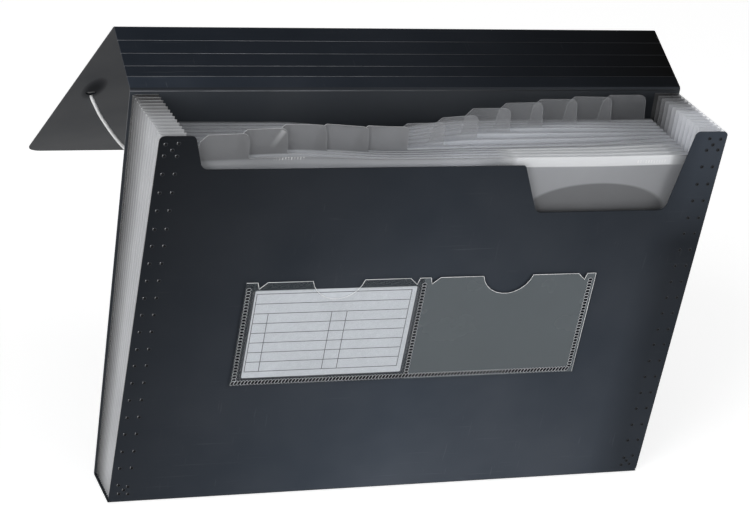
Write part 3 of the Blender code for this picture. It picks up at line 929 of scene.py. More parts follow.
@dataclass(frozen=True)
class BraidedElastic:
    """White braided elastic.

    Attributes:
        bed: The sheet that a knot lies on, if it is one; its underside is painted dark there, as painted shade.
        shade_top: How far above the sheet's middle the painted shade reaches.
        fuzz_span: Between which values the fuzz's noise counts.
        fuzz_gains: What the grooves' painted shade is multiplied by at the ends of that span.
    """

    strand: Triple = (0.94, 0.945, 0.95)
    groove: Triple = (0.89, 0.895, 0.905)
    underside_shade: Triple = (0.012, 0.012, 0.014)
    roughness: Pair = (0.6, 0.8)
    sheen: float = 0.3
    relief: Pair = (0.00008, 0.7)
    fuzz_scale: float = 4000.0
    fuzz_span: Pair = (0.3, 0.7)
    fuzz_gains: Pair = (0.6, 1.0)
    bed: Plane | None = None
    shade_top: float = 0.0021
    shade_fade: float = 0.0004

    def material(self, name: str) -> Material:
        """Make the material."""
        graph = MaterialGraph(name)
        height, groove = graph.use(braid())
        fuzz = graph.noise(graph.place(), self.fuzz_scale)
        groove = graph.times(groove, graph.ramp(fuzz, *self.fuzz_span, *self.fuzz_gains))
        # Painted shade in the grooves between strands.
        colour = graph.blend(groove, self.strand, self.groove)
        # Painted shade on the knot's underside, beside the flap.
        if self.bed:
            low = self.shade_top - self.shade_fade
            in_underside_shade = graph.ramp(graph.out_of(self.bed), low, self.shade_top, 1.0, 0.0)
            colour = graph.blend(in_underside_shade, colour, self.underside_shade)
        rough = graph.ramp(fuzz, *self.fuzz_span, *self.roughness)
        graph.give(Base_Color=colour, Roughness=rough, Sheen_Weight=self.sheen)
        return graph.bump(height, *self.relief)


def link(name: str, data: bpy.types.ID) -> bpy.types.Object:
    """Make an object and link it to the scene.

    Args:
        name: Its name.
        data: Its mesh, camera or lamp.

    Returns:
        The object.
    """
    obj = bpy.data.objects.new(name, data)
    bpy.context.scene.collection.objects.link(obj)
    return obj


def new_piece(name: str, builder: Mesh, material: Material, smooth: bool = True) -> bpy.types.Object:
    """Make an object from a built mesh.

    Args:
        name: The piece's name.
        builder: The mesh, which is freed.
        material: Its material.
        smooth: Whether it is shaded smooth.

    Returns:
        The object, linked to the scene.
    """
    mesh = bpy.data.meshes.new(name)
    bmesh.ops.recalc_face_normals(builder, faces=builder.faces)
    builder.to_mesh(mesh)
    builder.free()
    for polygon in mesh.polygons:
        polygon.use_smooth = smooth
    mesh.materials.append(material)
    return link(name, mesh)


def dress(node: str, material: Material) -> None:
    """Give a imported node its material.

    Args:
        node: The node's name.
        material: The material.
    """
    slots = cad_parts[node].material_slots
    for index in range(len(slots)):
        slots[index].link = "OBJECT"
        slots[index].material = material


def packed_mesh(node: str) -> Mesh:
    """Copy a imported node's mesh, with its points welded and its flat faces whole.

    Args:
        node: The node's name.

    Returns:
        The mesh, in the row frame.
    """
    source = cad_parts[node]
    builder = bmesh.new()
    builder.from_mesh(source.data)
    builder.transform(source.matrix_world)
    bmesh.ops.remove_doubles(builder, verts=builder.verts, dist=WELD_DISTANCE)
    bmesh.ops.dissolve_limit(builder, angle_limit=FLAT_ANGLE, verts=builder.verts, edges=builder.edges)
    return builder


def circle(count: int) -> list[Pair]:
    """Give the cosine and the sine at even steps round a circle."""
    return [(math.cos(math.tau * step / count), math.sin(math.tau * step / count)) for step in range(count)]


def loft(
    builder: Mesh, rows: Sequence[Sequence[Vector]], closed: bool = True, capped: bool = False
) -> list[list[bmesh.types.BMFace]]:
    """Join rows of points with faces.

    Args:
        builder: The mesh that they go into.
        rows: The points; a row of one point is a tip.
        closed: Whether the faces run round from each row's last point to its first.
        capped: Whether a face closes the first row, and another one the last.

    Returns:
        The faces between the rows, from each row to the next.
    """
    rings = [[builder.verts.new(point) for point in row] for row in rows]
    bands = []
    for low, high in zip(rings, rings[1:]):
        turns = [(i, (i + 1) % len(low)) for i in range(len(low) if closed else len(low) - 1)]
        tip = len(high) == 1
        bands.append([builder.faces.new((low[i], low[j], *(high if tip else (high[j], high[i])))) for i, j in turns])
    if capped:
        builder.faces.new(rings[0][::-1])
        builder.faces.new(rings[-1])
    return bands


def smooth_path(route: Sequence[Vector], step: float) -> list[Vector]:
    """Give points at even steps along a smooth curve through a route.

    Args:
        route: Points that the curve runs through.
        step: Spacing of the points that come back.

    Returns:
        The points, from the route's first to its last.
    """
    ends = [route[0] * 2 - route[1], *route, route[-1] * 2 - route[-2]]
    fine: list[Vector] = []
    for a, b, c, d in zip(ends, ends[1:], ends[2:], ends[3:]):
        pieces = max(2, math.ceil((c - b).length / step * 4))
        for t in (piece / pieces for piece in range(pieces)):
            bend = (2 * a - 5 * b + 4 * c - d) * t**2 + (3 * b - a - 3 * c + d) * t**3
            fine.append(b + ((c - a) * t + bend) / 2)
    fine.append(route[-1])
    lengths = [0.0]
    for start, end in zip(fine, fine[1:]):
        lengths.append(lengths[-1] + (end - start).length)
    count = round(lengths[-1] / step)
    points, index = [], 0
    for number in range(count + 1):
        goal = lengths[-1] * number / count
        while index < len(lengths) - 2 and lengths[index + 1] < goal:
            index += 1
        share = (goal - lengths[index]) / (lengths[index + 1] - lengths[index])
        points.append(fine[index].lerp(fine[index + 1], share))
    return points


def tube(builder: Mesh, points: Sequence[Vector], radii: float | Sequence[float], sides: int) -> None:
    """Add a closed tube with UVs: the first runs along its length and the second round it.

    Args:
        builder: The mesh that it goes into.
        points: Its centre line.
        radii: Its radius, or its radius at each point.
        sides: Faces round the tube.
    """
    uv = builder.loops.layers.uv.verify()
    if isinstance(radii, float):
        radii = [radii] * len(points)
    steep = abs((points[1] - points[0]).normalized().x) < 0.9
    across = Vector((1.0, 0.0, 0.0)) if steep else Vector((0.0, 1.0, 0.0))
    rings, lengths = [], [0.0]
    for before, point, after, radius in zip([points[0], *points], points, [*points[1:], points[-1]], radii):
        forward = (after - before).normalized()
        across = (across - forward * across.dot(forward)).normalized()
        other = forward.cross(across)
        rings.append([point + (across * cosine + other * sine) * radius for cosine, sine in circle(sides)])
        lengths.append(lengths[-1] + (after - point).length)
    for ring, band in enumerate(loft(builder, rings, capped=True)):
        for side, face in enumerate(band):
            corners = ((ring, side), (ring, side + 1), (ring + 1, side + 1), (ring + 1, side))
            for loop, (at, turn) in zip(face.loops, corners):
                loop[uv].uv = (lengths[at], turn / sides)


@dataclass
class PhotoCamera:
    """The camera at the photograph's angle."""

    place: Triple = (-0.5100, -1.2146, 0.6924)
    right: Triple = (0.9375, -0.3269, 0.1195)
    down: Triple = (-0.0246, -0.4048, -0.9141)
    lens: float = 120.0
    sensor: float = 36.0
    clip: Pair = (0.01, 100.0)

    def build(self) -> None:
        """Make the camera and hand it to the scene."""
        data = bpy.data.cameras.new("photo_camera")
        data.lens, data.sensor_width = self.lens, self.sensor
        data.clip_start, data.clip_end = self.clip
        right = Vector(self.right).normalized()
        back = right.cross(-Vector(self.down)).normalized()
        axes = Matrix((right, back.cross(right), back)).transposed().to_4x4()
        camera = link("photo_camera", data)
        camera.matrix_world = Matrix.Translation(self.place) @ axes
        bpy.context.scene.camera = camera


@dataclass
class ElasticCord:
    """The elastic cord in its hanging loop, and the knots that hold it on the flap's inner face.

    Attributes:
        route: The left half of the cord, from where it leaves the flap to its middle.
        knot_pinch: How far a knot's turns draw in to its middle, as a share of its radius.
        knot_rise: How far the turns rise over one another.
        knot_heart: How high above the flap the knot's heart is, and its radius there, from its foot to its head.
        stub_share: Radius of the stub that runs out through the hole, as a share of the knot's turns'.
    """

    diameter: float = 0.0021
    standoff: float = 0.0019
    step: float = 0.0012
    sides: int = 14
    route: tuple[Triple, ...] = (
        (0.0000, 0.0000, 0.0000),
        (0.0005, -0.0013, -0.0017),
        (0.0018, -0.0021, -0.0042),
        (0.0052, -0.0024, -0.0106),
        (0.0097, -0.0024, -0.0173),
        (0.0148, -0.0024, -0.0241),
        (0.0209, -0.0024, -0.0311),
        (0.0298, -0.0024, -0.0396),
        (0.0423, -0.0024, -0.0491),
        (0.0588, -0.0024, -0.0581),
        (0.0798, -0.0024, -0.0659),
        (0.1038, -0.0024, -0.0711),
        (0.1278, -0.0024, -0.0736),
        (0.1508, -0.0024, -0.0743),
    )
    knot_radius: float = 0.0026
    knot_tube: float = 0.0011
    knot_pinch: float = 0.80
    knot_rise: float = 0.00081
    knot_steps: int = 60
    knot_spacing: float = 0.0006
    knot_sides: int = 12
    knot_heart: tuple[Pair, ...] = ((-0.0002, 0.0034), (0.0003, 0.0034), (0.0012, 0.0025), (0.0017, 0.0008))
    heart_sides: int = 24
    stub_share: float = 0.93
    stub_spacing: float = 0.0004
    finish: BraidedElastic = BraidedElastic()

    def build(self) -> None:
        """Make the cord and both knots."""
        start = SIZES.flap.at(-SIZES.hole_x, SIZES.hole_reach, -self.standoff)
        left = [start + Vector(place) for place in self.route]
        points = smooth_path(left + [Vector((-p.x, p.y, p.z)) for p in reversed(left[:-1])], self.step)
        builder = bmesh.new()
        tube(builder, points, self.diameter / 2, self.sides)
        cord = new_piece("braided_cord", builder, self.finish.material("braided_elastic"))
        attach(cord, "cord")
        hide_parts("elastic_cord")
        # The knots' material paints shade on their undersides.
        knotted = replace(self.finish, bed=SIZES.flap).material("knotted_elastic")
        for side in Side:
            self.knot(side, knotted)

    def knot(self, side: Side, material: Material) -> None:
        """Make one knot: three crossing turns on the flap, and the stub that runs out through the hole.

        Args:
            side: The end of the file that it is at.
            material: The elastic's material.
        """
        flap, x, z = SIZES.flap, side.value * SIZES.hole_x, SIZES.hole_reach
        base = SIZES.sheet / 2 + SIZES.touch_gap
        seat = base + self.knot_tube
        turns = []
        for angle in (math.tau * step / self.knot_steps for step in range(self.knot_steps + 1)):
            reach = self.knot_radius * (1 - self.knot_pinch * (1 - math.cos(3 * angle)) / 2)
            rise = seat + self.knot_rise * (1 + math.sin(3 * angle)) / 2
            turns.append(flap.at(x + reach * math.cos(2 * angle), z + reach * math.sin(2 * angle), rise))
        stub = [flap.at(x, z, out) for out in (SIZES.sheet / 2, seat, seat + self.knot_tube)]
        builder = bmesh.new()
        tube(builder, smooth_path(turns, self.knot_spacing), self.knot_tube, self.knot_sides)
        tube(builder, smooth_path(stub, self.stub_spacing), self.knot_tube * self.stub_share, self.knot_sides)
        rises, radii = zip(*self.knot_heart)
        tube(builder, [flap.at(x, z, base + rise) for rise in rises], radii, self.heart_sides)
        knot = new_piece(f"overhand_knot_{side.name.lower()}", builder, material)
        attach(knot, "flap")
        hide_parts(f"cord_knot_{side.name.lower()}")


@dataclass
class Cover:
    """The cover's panels, and the webs of thinned plastic at its creases.

    Attributes:
        base_setback: How far the sheets stop short of a crease at the base; the others are for the cover's outer
            creases and for its scores.
        overlap: How far a web reaches into each sheet.
        waist: Thickness of a web at its middle, as a share of the sheet's.
        lip_drop: How far the pressed lip lies below the rear crease.
        dark_spot_shift: How far the dark spots lie below the holes.
    """

    base_setback: float = 0.0006
    cover_setback: float = 0.00045
    score_setback: float = 0.0002
    overlap: float = 0.00008
    waist: float = 0.55
    bend_steps: int = 8
    lip_drop: float = 0.0013
    lip_radius: float = 0.00022
    lip_sides: int = 6
    dark_spot_shift: float = 0.009
    finish: CoverPlastic = CoverPlastic()
    flap_specular: float = 0.08
    # Painted light and shade: the front panel is darker at its left, lighter in its middle and towards its foot, and
    # its right flange is darker below and much lighter at its head.
    front_finish: CoverPlastic = CoverPlastic(
        colour=(0.0102, 0.0126, 0.0164),
        pale=(0.0152, 0.0176, 0.0216),
        painted_light_gains=(0.5, 1.5, 1.05),
        foot_light_gain=3.3,
        ear_light_gains=(0.62, 3.0),
        specular=0.05,
        wear=0.2,
    )
    # Painted light and shade: the rear panel is lighter than the other sheets, and darker from left to right.
    rear_finish: CoverPlastic = CoverPlastic(
        colour=(0.026, 0.030, 0.036), pale=(0.036, 0.040, 0.046), painted_light_gains=(1.4, 0.88, 0.55)
    )
    # Painted light and shade: the spine strips are light at the left and fade to black at the right.
    first_strip_finish: CoverPlastic = CoverPlastic(painted_light_gains=(3.0, 1.35, 0.3), specular=0.02)
    spine_finish: CoverPlastic = CoverPlastic(painted_light_gains=(1.7, 1.1, 0.0), specular=0.02)
    fold: FoldedPlastic = FoldedPlastic()

    def build(self) -> None:
        """Dress the panels, and make the lip and the webs."""
        dark_spots = tuple((side.value * SIZES.hole_x, SIZES.hole_reach - self.dark_spot_shift) for side in Side)
        flap_finish = replace(self.finish, dark_spots=dark_spots, specular=self.flap_specular)
        sheets = {
            "front_panel": (SIZES.front, self.front_finish),
            "rear_panel": (SIZES.rear, self.rear_finish),
            "base_strip": (SIZES.base, self.finish),
            "cover_flap": (SIZES.flap, flap_finish),
            "spine_strip_1": (SIZES.strip(0), self.first_strip_finish),
        }
        last = len(SIZES.strips)
        for index in range(1, last):
            sheets[f"spine_strip_{index + 1}"] = (SIZES.strip(index), self.spine_finish)
        for node, (plane, finish) in sheets.items():
            dress(node, finish.material(f"{node}_plastic", plane))
        crease = self.fold.material("folded_plastic")
        self.lip(crease)
        plain = self.finish.material("base_fold_plastic", SIZES.base)
        dark = self.finish.material("cover_fold_plastic", SIZES.strip(0))
        base, spine = SIZES.base.along, SIZES.strip(0).along
        rear, ridge = SIZES.rear.along, (f"spine_{last}", "flap")
        self.web("front_base_fold", base, SIZES.front, self.base_setback, plain, ("case", "front"))
        self.web("rear_base_fold", -base, SIZES.rear, self.base_setback, plain, ("case",))
        self.web("rear_cover_fold", -rear, SIZES.strip(0), self.cover_setback, dark, ("case", "spine_1"))
        for index in range(1, last):
            bodies = (f"spine_{index}", f"spine_{index + 1}")
            self.web(f"spine_score_{index}", -spine, SIZES.strip(index), self.score_setback, crease, bodies)
        self.web("ridge_fold", -spine, SIZES.flap, self.cover_setback, dark, ridge)

    def lip(self, material: Material) -> None:
        """Make the pressed lip that runs along the rear panel's inner face, just under its crease, in the crease's
        whitened and painted-highlight colour.

        Args:
            material: Its material.
        """
        rise, out = SIZES.panel_height - self.lip_drop, SIZES.sheet / 2
        builder = bmesh.new()
        ends = [SIZES.rear.at(x, rise, out) for x in (-SIZES.half, SIZES.half)]
        tube(builder, ends, self.lip_radius, self.lip_sides)
        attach(new_piece("rear_fold_lip", builder, material), "case")

    def web(
        self, name: str, back: Vector, after: Plane, setback: float, material: Material, bodies: Sequence[str]
    ) -> None:
        """Make the web at one crease, thinner at its waist, bent from one sheet into the next.

        Args:
            name: The piece's name.
            back: Direction from the crease along the sheet before it.
            after: The sheet after the crease.
            setback: How far each sheet stops short of the crease.
            material: Its material.
            bodies: The one body that it rides on; where two are given, it rides on neither.
        """
        reach = setback + self.overlap
        axis, start, end = after.foot, after.foot + back * reach, after.foot + after.along * reach
        shares = [step / self.bend_steps for step in range(self.bend_steps + 1)]
        bend = [start * (1 - t) ** 2 + axis * (2 * t * (1 - t)) + end * t**2 for t in shares]
        corners = ((-1, -SIZES.half), (-1, SIZES.half), (1, SIZES.half), (1, -SIZES.half))
        rings = []
        for t, behind, point, ahead in zip(shares, [start, *bend], bend, [*bend[1:], end]):
            out = Vector((1.0, 0.0, 0.0)).cross((ahead - behind).normalized())
            thick = SIZES.sheet / 2 * (1 - (1 - self.waist) * math.sin(math.pi * t))
            rings.append([point + out * side * thick + Vector((x, 0.0, 0.0)) for side, x in corners])
        builder = bmesh.new()
        loft(builder, rings, capped=True)
        piece = new_piece(name, builder, material, smooth=False)
        if len(bodies) == 1:
            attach(piece, bodies[0])
        else:
            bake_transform(piece)


@dataclass
class WeldMarks:
    """The columns of small weld dimples that join the gussets to the front and rear panels.

    Attributes:
        columns: Distances of the columns from the panel's side.
        rows: Heights of the rows.
        top_cluster: Inset and height of each mark over the columns; foot_cluster is for those under them.
        profile: Radius and height of each ring of a mark, from its rim to its middle.
        lift: How far a mark lies off the panel.
        cup_ring: Number of the first band of faces that is the cup, painted near black as painted shade.
        catch_angles: Between which angles the rim catches the light, at the left.
    """

    columns: Pair = (0.0042, 0.0109)
    rows: tuple[float, ...] = (
        0.2154, 0.2040, 0.1930, 0.1816, 0.1710, 0.1600, 0.1490, 0.1380, 0.1270,
        0.1160, 0.1046, 0.0938, 0.0822, 0.0707, 0.0590, 0.0475, 0.0355, 0.0239,
    )
    top_cluster: tuple[Pair, ...] = (
        (0.0037, 0.2334), (0.0107, 0.2338), (0.0077, 0.2298), (0.0037, 0.2264), (0.0107, 0.2262),
    )
    foot_cluster: tuple[Pair, ...] = (
        (0.0047, 0.0121), (0.0081, 0.0085), (0.0102, 0.0108), (0.0056, 0.0059), (0.0109, 0.0055),
    )
    profile: tuple[Pair, ...] = (
        (0.00120, 0.0), (0.00098, 0.00020), (0.00078, 0.00024), (0.00050, 0.00004), (0.0, 0.0),
    )
    lift: float = 0.00003
    sides: int = 14
    cup_ring: int = 3
    catch_angles: Pair = (math.radians(125.0), math.radians(215.0))
    rim_finish: CoverPlastic = CoverPlastic(wear=0.0)
    catch_finish: CoverPlastic = CoverPlastic(roughness=(0.14, 0.20), specular=1.0, wear=0.0)
    # Painted shade: the cup's near-black colour stands for the shade in the dimple.
    cup_shade_finish: CoverPlastic = CoverPlastic(
        colour=(0.002, 0.0022, 0.0026), pale=(0.003, 0.0033, 0.0038), specular=0.1, wear=0.0
    )

    def build(self) -> None:
        """Make the marks on both panels, pressed into their outer faces."""
        self.panel("front_weld_marks", SIZES.front, 1.0, "front")
        self.panel("rear_weld_marks", SIZES.rear, -1.0, "case")

    def panel(self, name: str, plane: Plane, face: float, body: str) -> None:
        """Make the marks of one panel.

        Args:
            name: The piece's name.
            plane: The panel's place.
            face: Which of its faces they are pressed into.
            body: The body that they ride on.
        """
        builder = bmesh.new()
        places = [(x, rise) for x in self.columns for rise in self.rows]
        for side in Side:
            for inset, rise in (*places, *self.top_cluster, *self.foot_cluster):
                self.mark(builder, plane, side.value * (SIZES.half - inset), rise, face)
        piece = new_piece(name, builder, self.rim_finish.material(f"{name}_rim", plane))
        piece.data.materials.append(self.cup_shade_finish.material(f"{name}_cup", plane))
        piece.data.materials.append(self.catch_finish.material(f"{name}_catch", plane))
        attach(piece, body)

    def mark(self, builder: Mesh, plane: Plane, across: float, rise: float, face: float) -> None:
        """Add one dimple, a low ring round a shallow cup.

        Args:
            builder: The mesh that it goes into.
            plane: The panel's place.
            across: Distance along X.
            rise: Distance up the panel.
            face: Which of its faces it is pressed into.
        """
        rings = []
        for radius, out in self.profile:
            height = face * (SIZES.sheet / 2 + self.lift + out)
            turns = circle(self.sides if radius else 1)
            rings.append([plane.at(across + radius * cosine, rise + radius * sine, height) for cosine, sine in turns])
        for number, band in enumerate(loft(builder, rings), start=1):
            for index, facet in enumerate(band):
                angle = math.tau * (index + 0.5) / self.sides
                caught = across < 0 and self.catch_angles[0] < angle < self.catch_angles[1]
                # Cup faces take the painted-shade material.
                facet.material_index = 1 if number >= self.cup_ring else 2 if caught else 0


@dataclass
class Pockets:
    """The dividers, and the pleated gussets that fold between them.

    Attributes:
        foot_rise: How far the gussets' foot stands over the base's crease.
        front_drop: How far their head lies under the front panel's; rear_drop is for the rear panel's.
        flange_share: How far the flanges reach inwards, as a share of the pleats' depth.
        flange_cut: Number of points at the end of a fold that a flange takes the place of.
        bows: How far each divider's top is bowed out of its even place, towards the rear, at each of bow_places, as
            shares of the depth.
        bow_places: Where along X those are.
        bow_power: How steeply the bow grows up the sheet.
        near_sheets: Number of sheets at the front that are darker and more opaque, with brighter edges, a painted
            highlight.
        near_share: What their colour is multiplied by, but not their bodies'.
        front_light_gain: The first sheet's body_light_gain, its painted light; front_rim_gain, front_ticks and
            front_patch are its own as well.
        gleaming_sheet: Number of the sheet with the gleam.
        sheen_sheets: Number of sheets at the front with the band of painted sheen.
        round_fold: Half a pocket's run, as shares of its depth from front to rear and of the pleat's depth.
        full_fold: The same at the right, where the folds are pressed fuller.
    """

    pocket_count: int = 13
    edge_inset: float = 0.001
    pleat_depth: float = 0.015
    thickness: float = 0.0003
    foot_rise: float = 0.0011
    front_drop: float = 0.0004
    rear_drop: float = 0.0030
    levels: int = 14
    flange_share: float = 0.80
    flange_cut: int = 5
    bows: tuple[tuple[float, float, float, float], ...] = (
        (0.060, -0.022, -0.022, -0.030),
        (0.060, -0.054, -0.049, -0.045),
        (0.060, -0.088, -0.068, -0.060),
        (0.010, -0.128, -0.098, -0.080),
        (-0.035, -0.175, -0.138, -0.110),
        (-0.075, -0.182, -0.150, -0.120),
        (-0.075, -0.188, -0.080, -0.060),
        (-0.055, -0.195, 0.000, 0.000),
        (-0.035, -0.207, 0.040, 0.060),
        (-0.020, -0.219, 0.040, 0.055),
        (-0.015, -0.226, 0.025, 0.045),
        (-0.020, -0.233, 0.000, 0.000),
    )
    bow_places: tuple[float, float, float, float] = (-0.085, -0.025, 0.030, 0.085)
    bow_power: float = 3.0
    bend_columns: int = 40
    bend_rows: int = 14
    crisp_angle: float = math.radians(40.0)
    # The dividers: painted light in their bodies, painted shade at their ends, and a painted sheen colour.
    finish: FrostedPlastic = FrostedPlastic(
        body_top=0.220, body_light_gain=2.2, side_shade_gains=(0.76, 0.82), sheen_colour=(0.82, 0.83, 0.845)
    )
    near_sheets: int = 5
    near_share: float = 0.74
    near_opacity: float = 0.62
    near_edge: Triple = (0.84, 0.85, 0.87)
    near_edge_opacity: float = 0.8
    front_light_gain: float = 1.2
    front_rim_gain: float = 2.0
    front_ticks: tuple[Triple, ...] = ((-0.098, -0.080, 0.2188), (0.029, 0.041, 0.2145), (0.115, 0.134, 0.2160))
    front_patch: tuple[Pair, Pair] = ((0.095, 0.185), (0.044, 0.0185))
    gleaming_sheet: int = 2
    gleam: tuple[float, float, float, float] = (-0.0988, 0.2238, -0.0925, 0.2346)
    sheen_band: Triple = (0.030, 0.146, 0.2142)
    sheen_sheets: int = 4
    gusset_finish: FrostedPlastic = FrostedPlastic(
        colour=(0.67, 0.68, 0.70),
        pale=(0.73, 0.738, 0.755),
        edge=(0.80, 0.81, 0.82),
        edge_opacity=0.85,
        opacities=(0.42, 0.80),
    )
    left_finish: FrostedPlastic = replace(gusset_finish, rear_shade=0.12, opacities=(0.60, 0.90))
    # Painted light: the right gusset is the same sheet as the left one, made paler as if lit from behind.
    right_finish: FrostedPlastic = replace(
        gusset_finish,
        colour=(0.82, 0.83, 0.86),
        pale=(0.87, 0.88, 0.90),
        edge=(0.66, 0.67, 0.69),
        rear_shade=0.24,
        shade_depth=0.50,
        passing=0.80,
    )
    round_fold: tuple[Pair, ...] = (
        (0.0, 0.0), (0.04, 0.10), (0.07, 0.50), (0.11, 0.78), (0.17, 0.90), (0.25, 0.96), (0.36, 0.99), (0.5, 1.0),
    )
    full_fold: tuple[Pair, ...] = (
        (0.0, 0.0), (0.02, 0.20), (0.03, 0.60), (0.04, 0.88), (0.06, 0.965), (0.10, 0.99), (0.20, 1.0), (0.5, 1.0),
    )

    @property
    def fold_x(self) -> float:
        """Distance of the inner folds from the middle."""
        return SIZES.half - self.edge_inset - self.pleat_depth

    def build(self) -> None:
        """Make the dividers and both gussets."""
        for number in range(1, self.pocket_count):
            self.divider(number)
        for side, finish in zip(Side, (self.left_finish, self.right_finish)):
            name = f"gusset_{side.name.lower()}_frosted"
            self.gusset(side, finish.material(name, Plane(0.0, 0.0, 0.0), pleated=True))

    def point(self, share: float, rise: float) -> Vector:
        """Give a point between the panels.

        Args:
            share: How far it is from the front flange to the rear one.
            rise: How far it is up the panels.

        Returns:
            The point, at X = 0.
        """
        inset = SIZES.sheet / 2 + SIZES.touch_gap + self.thickness / 2
        front, rear = SIZES.front.at(0.0, rise), SIZES.rear.at(0.0, rise)
        return Vector((0.0, front.y + inset, front.z)).lerp(Vector((0.0, rear.y - inset, rear.z)), share)

    def bow(self, number: int, across: float) -> float:
        """Give how far a divider's top is bowed at a place along X.

        Args:
            number: The divider's number, from 1 at the front.
            across: The place along X.

        Returns:
            The bow, as a share of the depth, towards the rear.
        """
        places = (-self.fold_x, *self.bow_places, self.fold_x)
        bows = (0.0, *self.bows[number - 1], 0.0)
        for low, high, before, after in zip(places, places[1:], bows, bows[1:]):
            if across <= high:
                t = max(0.0, (across - low) / (high - low))
                return before + (after - before) * t * t * (3 - 2 * t)
        return 0.0

    def divider_finish(self, number: int) -> FrostedPlastic:
        """Give a divider's finish.

        Args:
            number: The divider's number, from 1 at the front.

        Returns:
            The finish.
        """
        finish = self.finish
        if number == 1:
            finish = replace(
                finish,
                patch=self.front_patch,
                body_light_gain=self.front_light_gain,
                rim_gain=self.front_rim_gain,
                ticks=self.front_ticks,
            )
        if number <= self.sheen_sheets:
            finish = replace(finish, sheen_band=self.sheen_band)
        if number <= self.near_sheets:
            finish = replace(
                finish,
                colour=tuple(value * self.near_share for value in finish.colour),
                pale=tuple(value * self.near_share for value in finish.pale),
                edge=self.near_edge,
                edge_opacity=self.near_edge_opacity,
                opacities=(self.near_opacity, self.near_opacity),
                body_light_gain=finish.body_light_gain / self.near_share,
            )
        return replace(finish, gleam=self.gleam) if number == self.gleaming_sheet else finish

    def divider(self, number: int) -> None:
        """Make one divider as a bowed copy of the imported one, its top edge and tab out of their even place.

        Args:
            number: The divider's number, from 1 at the front.
        """
        share = number / self.pocket_count
        foot, head = self.point(share, 0.0), self.point(share, SIZES.panel_height)
        plane = Plane(foot.y, foot.z, math.atan2(head.z - foot.z, head.y - foot.y))
        name = f"divider_{number:02d}"
        builder = packed_mesh(name)
        columns = [self.fold_x * (2 * column / self.bend_columns - 1) for column in range(1, self.bend_columns)]
        rows = [SIZES.panel_height * row / self.bend_rows for row in range(1, self.bend_rows)]
        cuts = [(Vector((x, 0.0, 0.0)), Vector((1.0, 0.0, 0.0))) for x in columns]
        for place, across in cuts + [(plane.at(0.0, rise), plane.along) for rise in rows]:
            geometry = [*builder.verts, *builder.edges, *builder.faces]
            bmesh.ops.bisect_plane(builder, geom=geometry, plane_co=place, plane_no=across)
        for vertex in builder.verts:
            rise = (vertex.co - plane.foot).dot(plane.along)
            lift = max(0.0, rise / SIZES.panel_height) ** self.bow_power
            moved = share + self.bow(number, vertex.co.x) * lift
            vertex.co += self.point(moved, rise) - self.point(share, rise)
        material = self.divider_finish(number).material(f"{name}_frosted", plane)
        piece = new_piece(f"{name}_sheet", builder, material)
        piece.data.set_sharp_from_angle(angle=self.crisp_angle)
        self.follow_fan(piece, share)
        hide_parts(name)

    def wave(self, pocket: int, side: Side) -> list[Pair]:
        """Give the run of the sheet across one pocket.

        Args:
            pocket: The pocket's number, from 0 at the front.
            side: The end of the file that it closes.

        Returns:
            Share of the whole depth, and share of the pleat's depth, at each point.
        """
        half = self.round_fold if side is Side.LEFT else self.full_fold
        line = [*half, *((1 - a, out) for a, out in reversed(half[:-1]))]
        if pocket == 0:
            line = [(0.0, 0.0), (0.0, self.flange_share), *line[self.flange_cut:]]
        if pocket == self.pocket_count - 1:
            line = [*line[:-self.flange_cut], (1.0, self.flange_share), (1.0, 0.0)]
        return [((pocket + a) / self.pocket_count, out) for a, out in line]

    def gusset(self, side: Side, material: Material) -> None:
        """Make one gusset, a piece for each pocket.

        Args:
            side: The end of the file that it closes.
            material: Its material.
        """
        node = f"gusset_{side.name.lower()}"
        for pocket in range(self.pocket_count):
            rows = []
            for level in (number / (self.levels - 1) for number in range(self.levels)):
                rows.append([self.pleat_point(side, share, out, level) for share, out in self.wave(pocket, side)])
            builder = bmesh.new()
            loft(builder, rows, closed=False)
            piece = new_piece(f"{node}_pleat_{pocket + 1:02d}", builder, material)
            self.thicken(piece)
            self.follow_fan(piece, (pocket + 0.5) / self.pocket_count)
            if pocket == 0:
                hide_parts(node)

    def pleat_point(self, side: Side, share: float, out: float, level: float) -> Vector:
        """Give a point of a gusset's sheet.

        Args:
            side: The end of the file that it closes.
            share: Share of the whole depth.
            out: Share of the pleat's depth.
            level: Share of the gusset's height.

        Returns:
            The point.
        """
        drop = self.front_drop + (self.rear_drop - self.front_drop) * share
        point = self.point(share, self.foot_rise + (SIZES.panel_height - drop - self.foot_rise) * level)
        point.x = side.value * (self.fold_x + self.pleat_depth * out)
        return point

    def thicken(self, piece: bpy.types.Object) -> None:
        """Give a pleat the thickness of its sheet, applied to its mesh.

        Args:
            piece: The pleat.
        """
        wall = piece.modifiers.new("wall", "SOLIDIFY")
        wall.thickness, wall.offset = self.thickness, 0.0
        mesh = bpy.data.meshes.new_from_object(piece.evaluated_get(bpy.context.evaluated_depsgraph_get()))
        piece.modifiers.clear()
        piece.data = mesh

    def follow_fan(self, piece: bpy.types.Object, share: float) -> None:
        """Bake a sheet's place into its mesh; the fan's foot, head and depth are worked out but not used, so the
        sheet does not bend.

        Args:
            piece: The sheet.
            share: How far it is from the front panel to the rear one.
        """
        height = SIZES.panel_height
        foot, head = self.point(share, 0.0), self.point(share, height)
        depth = (self.point(0.0, height) - self.point(1.0, height)).length
        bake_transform(piece)


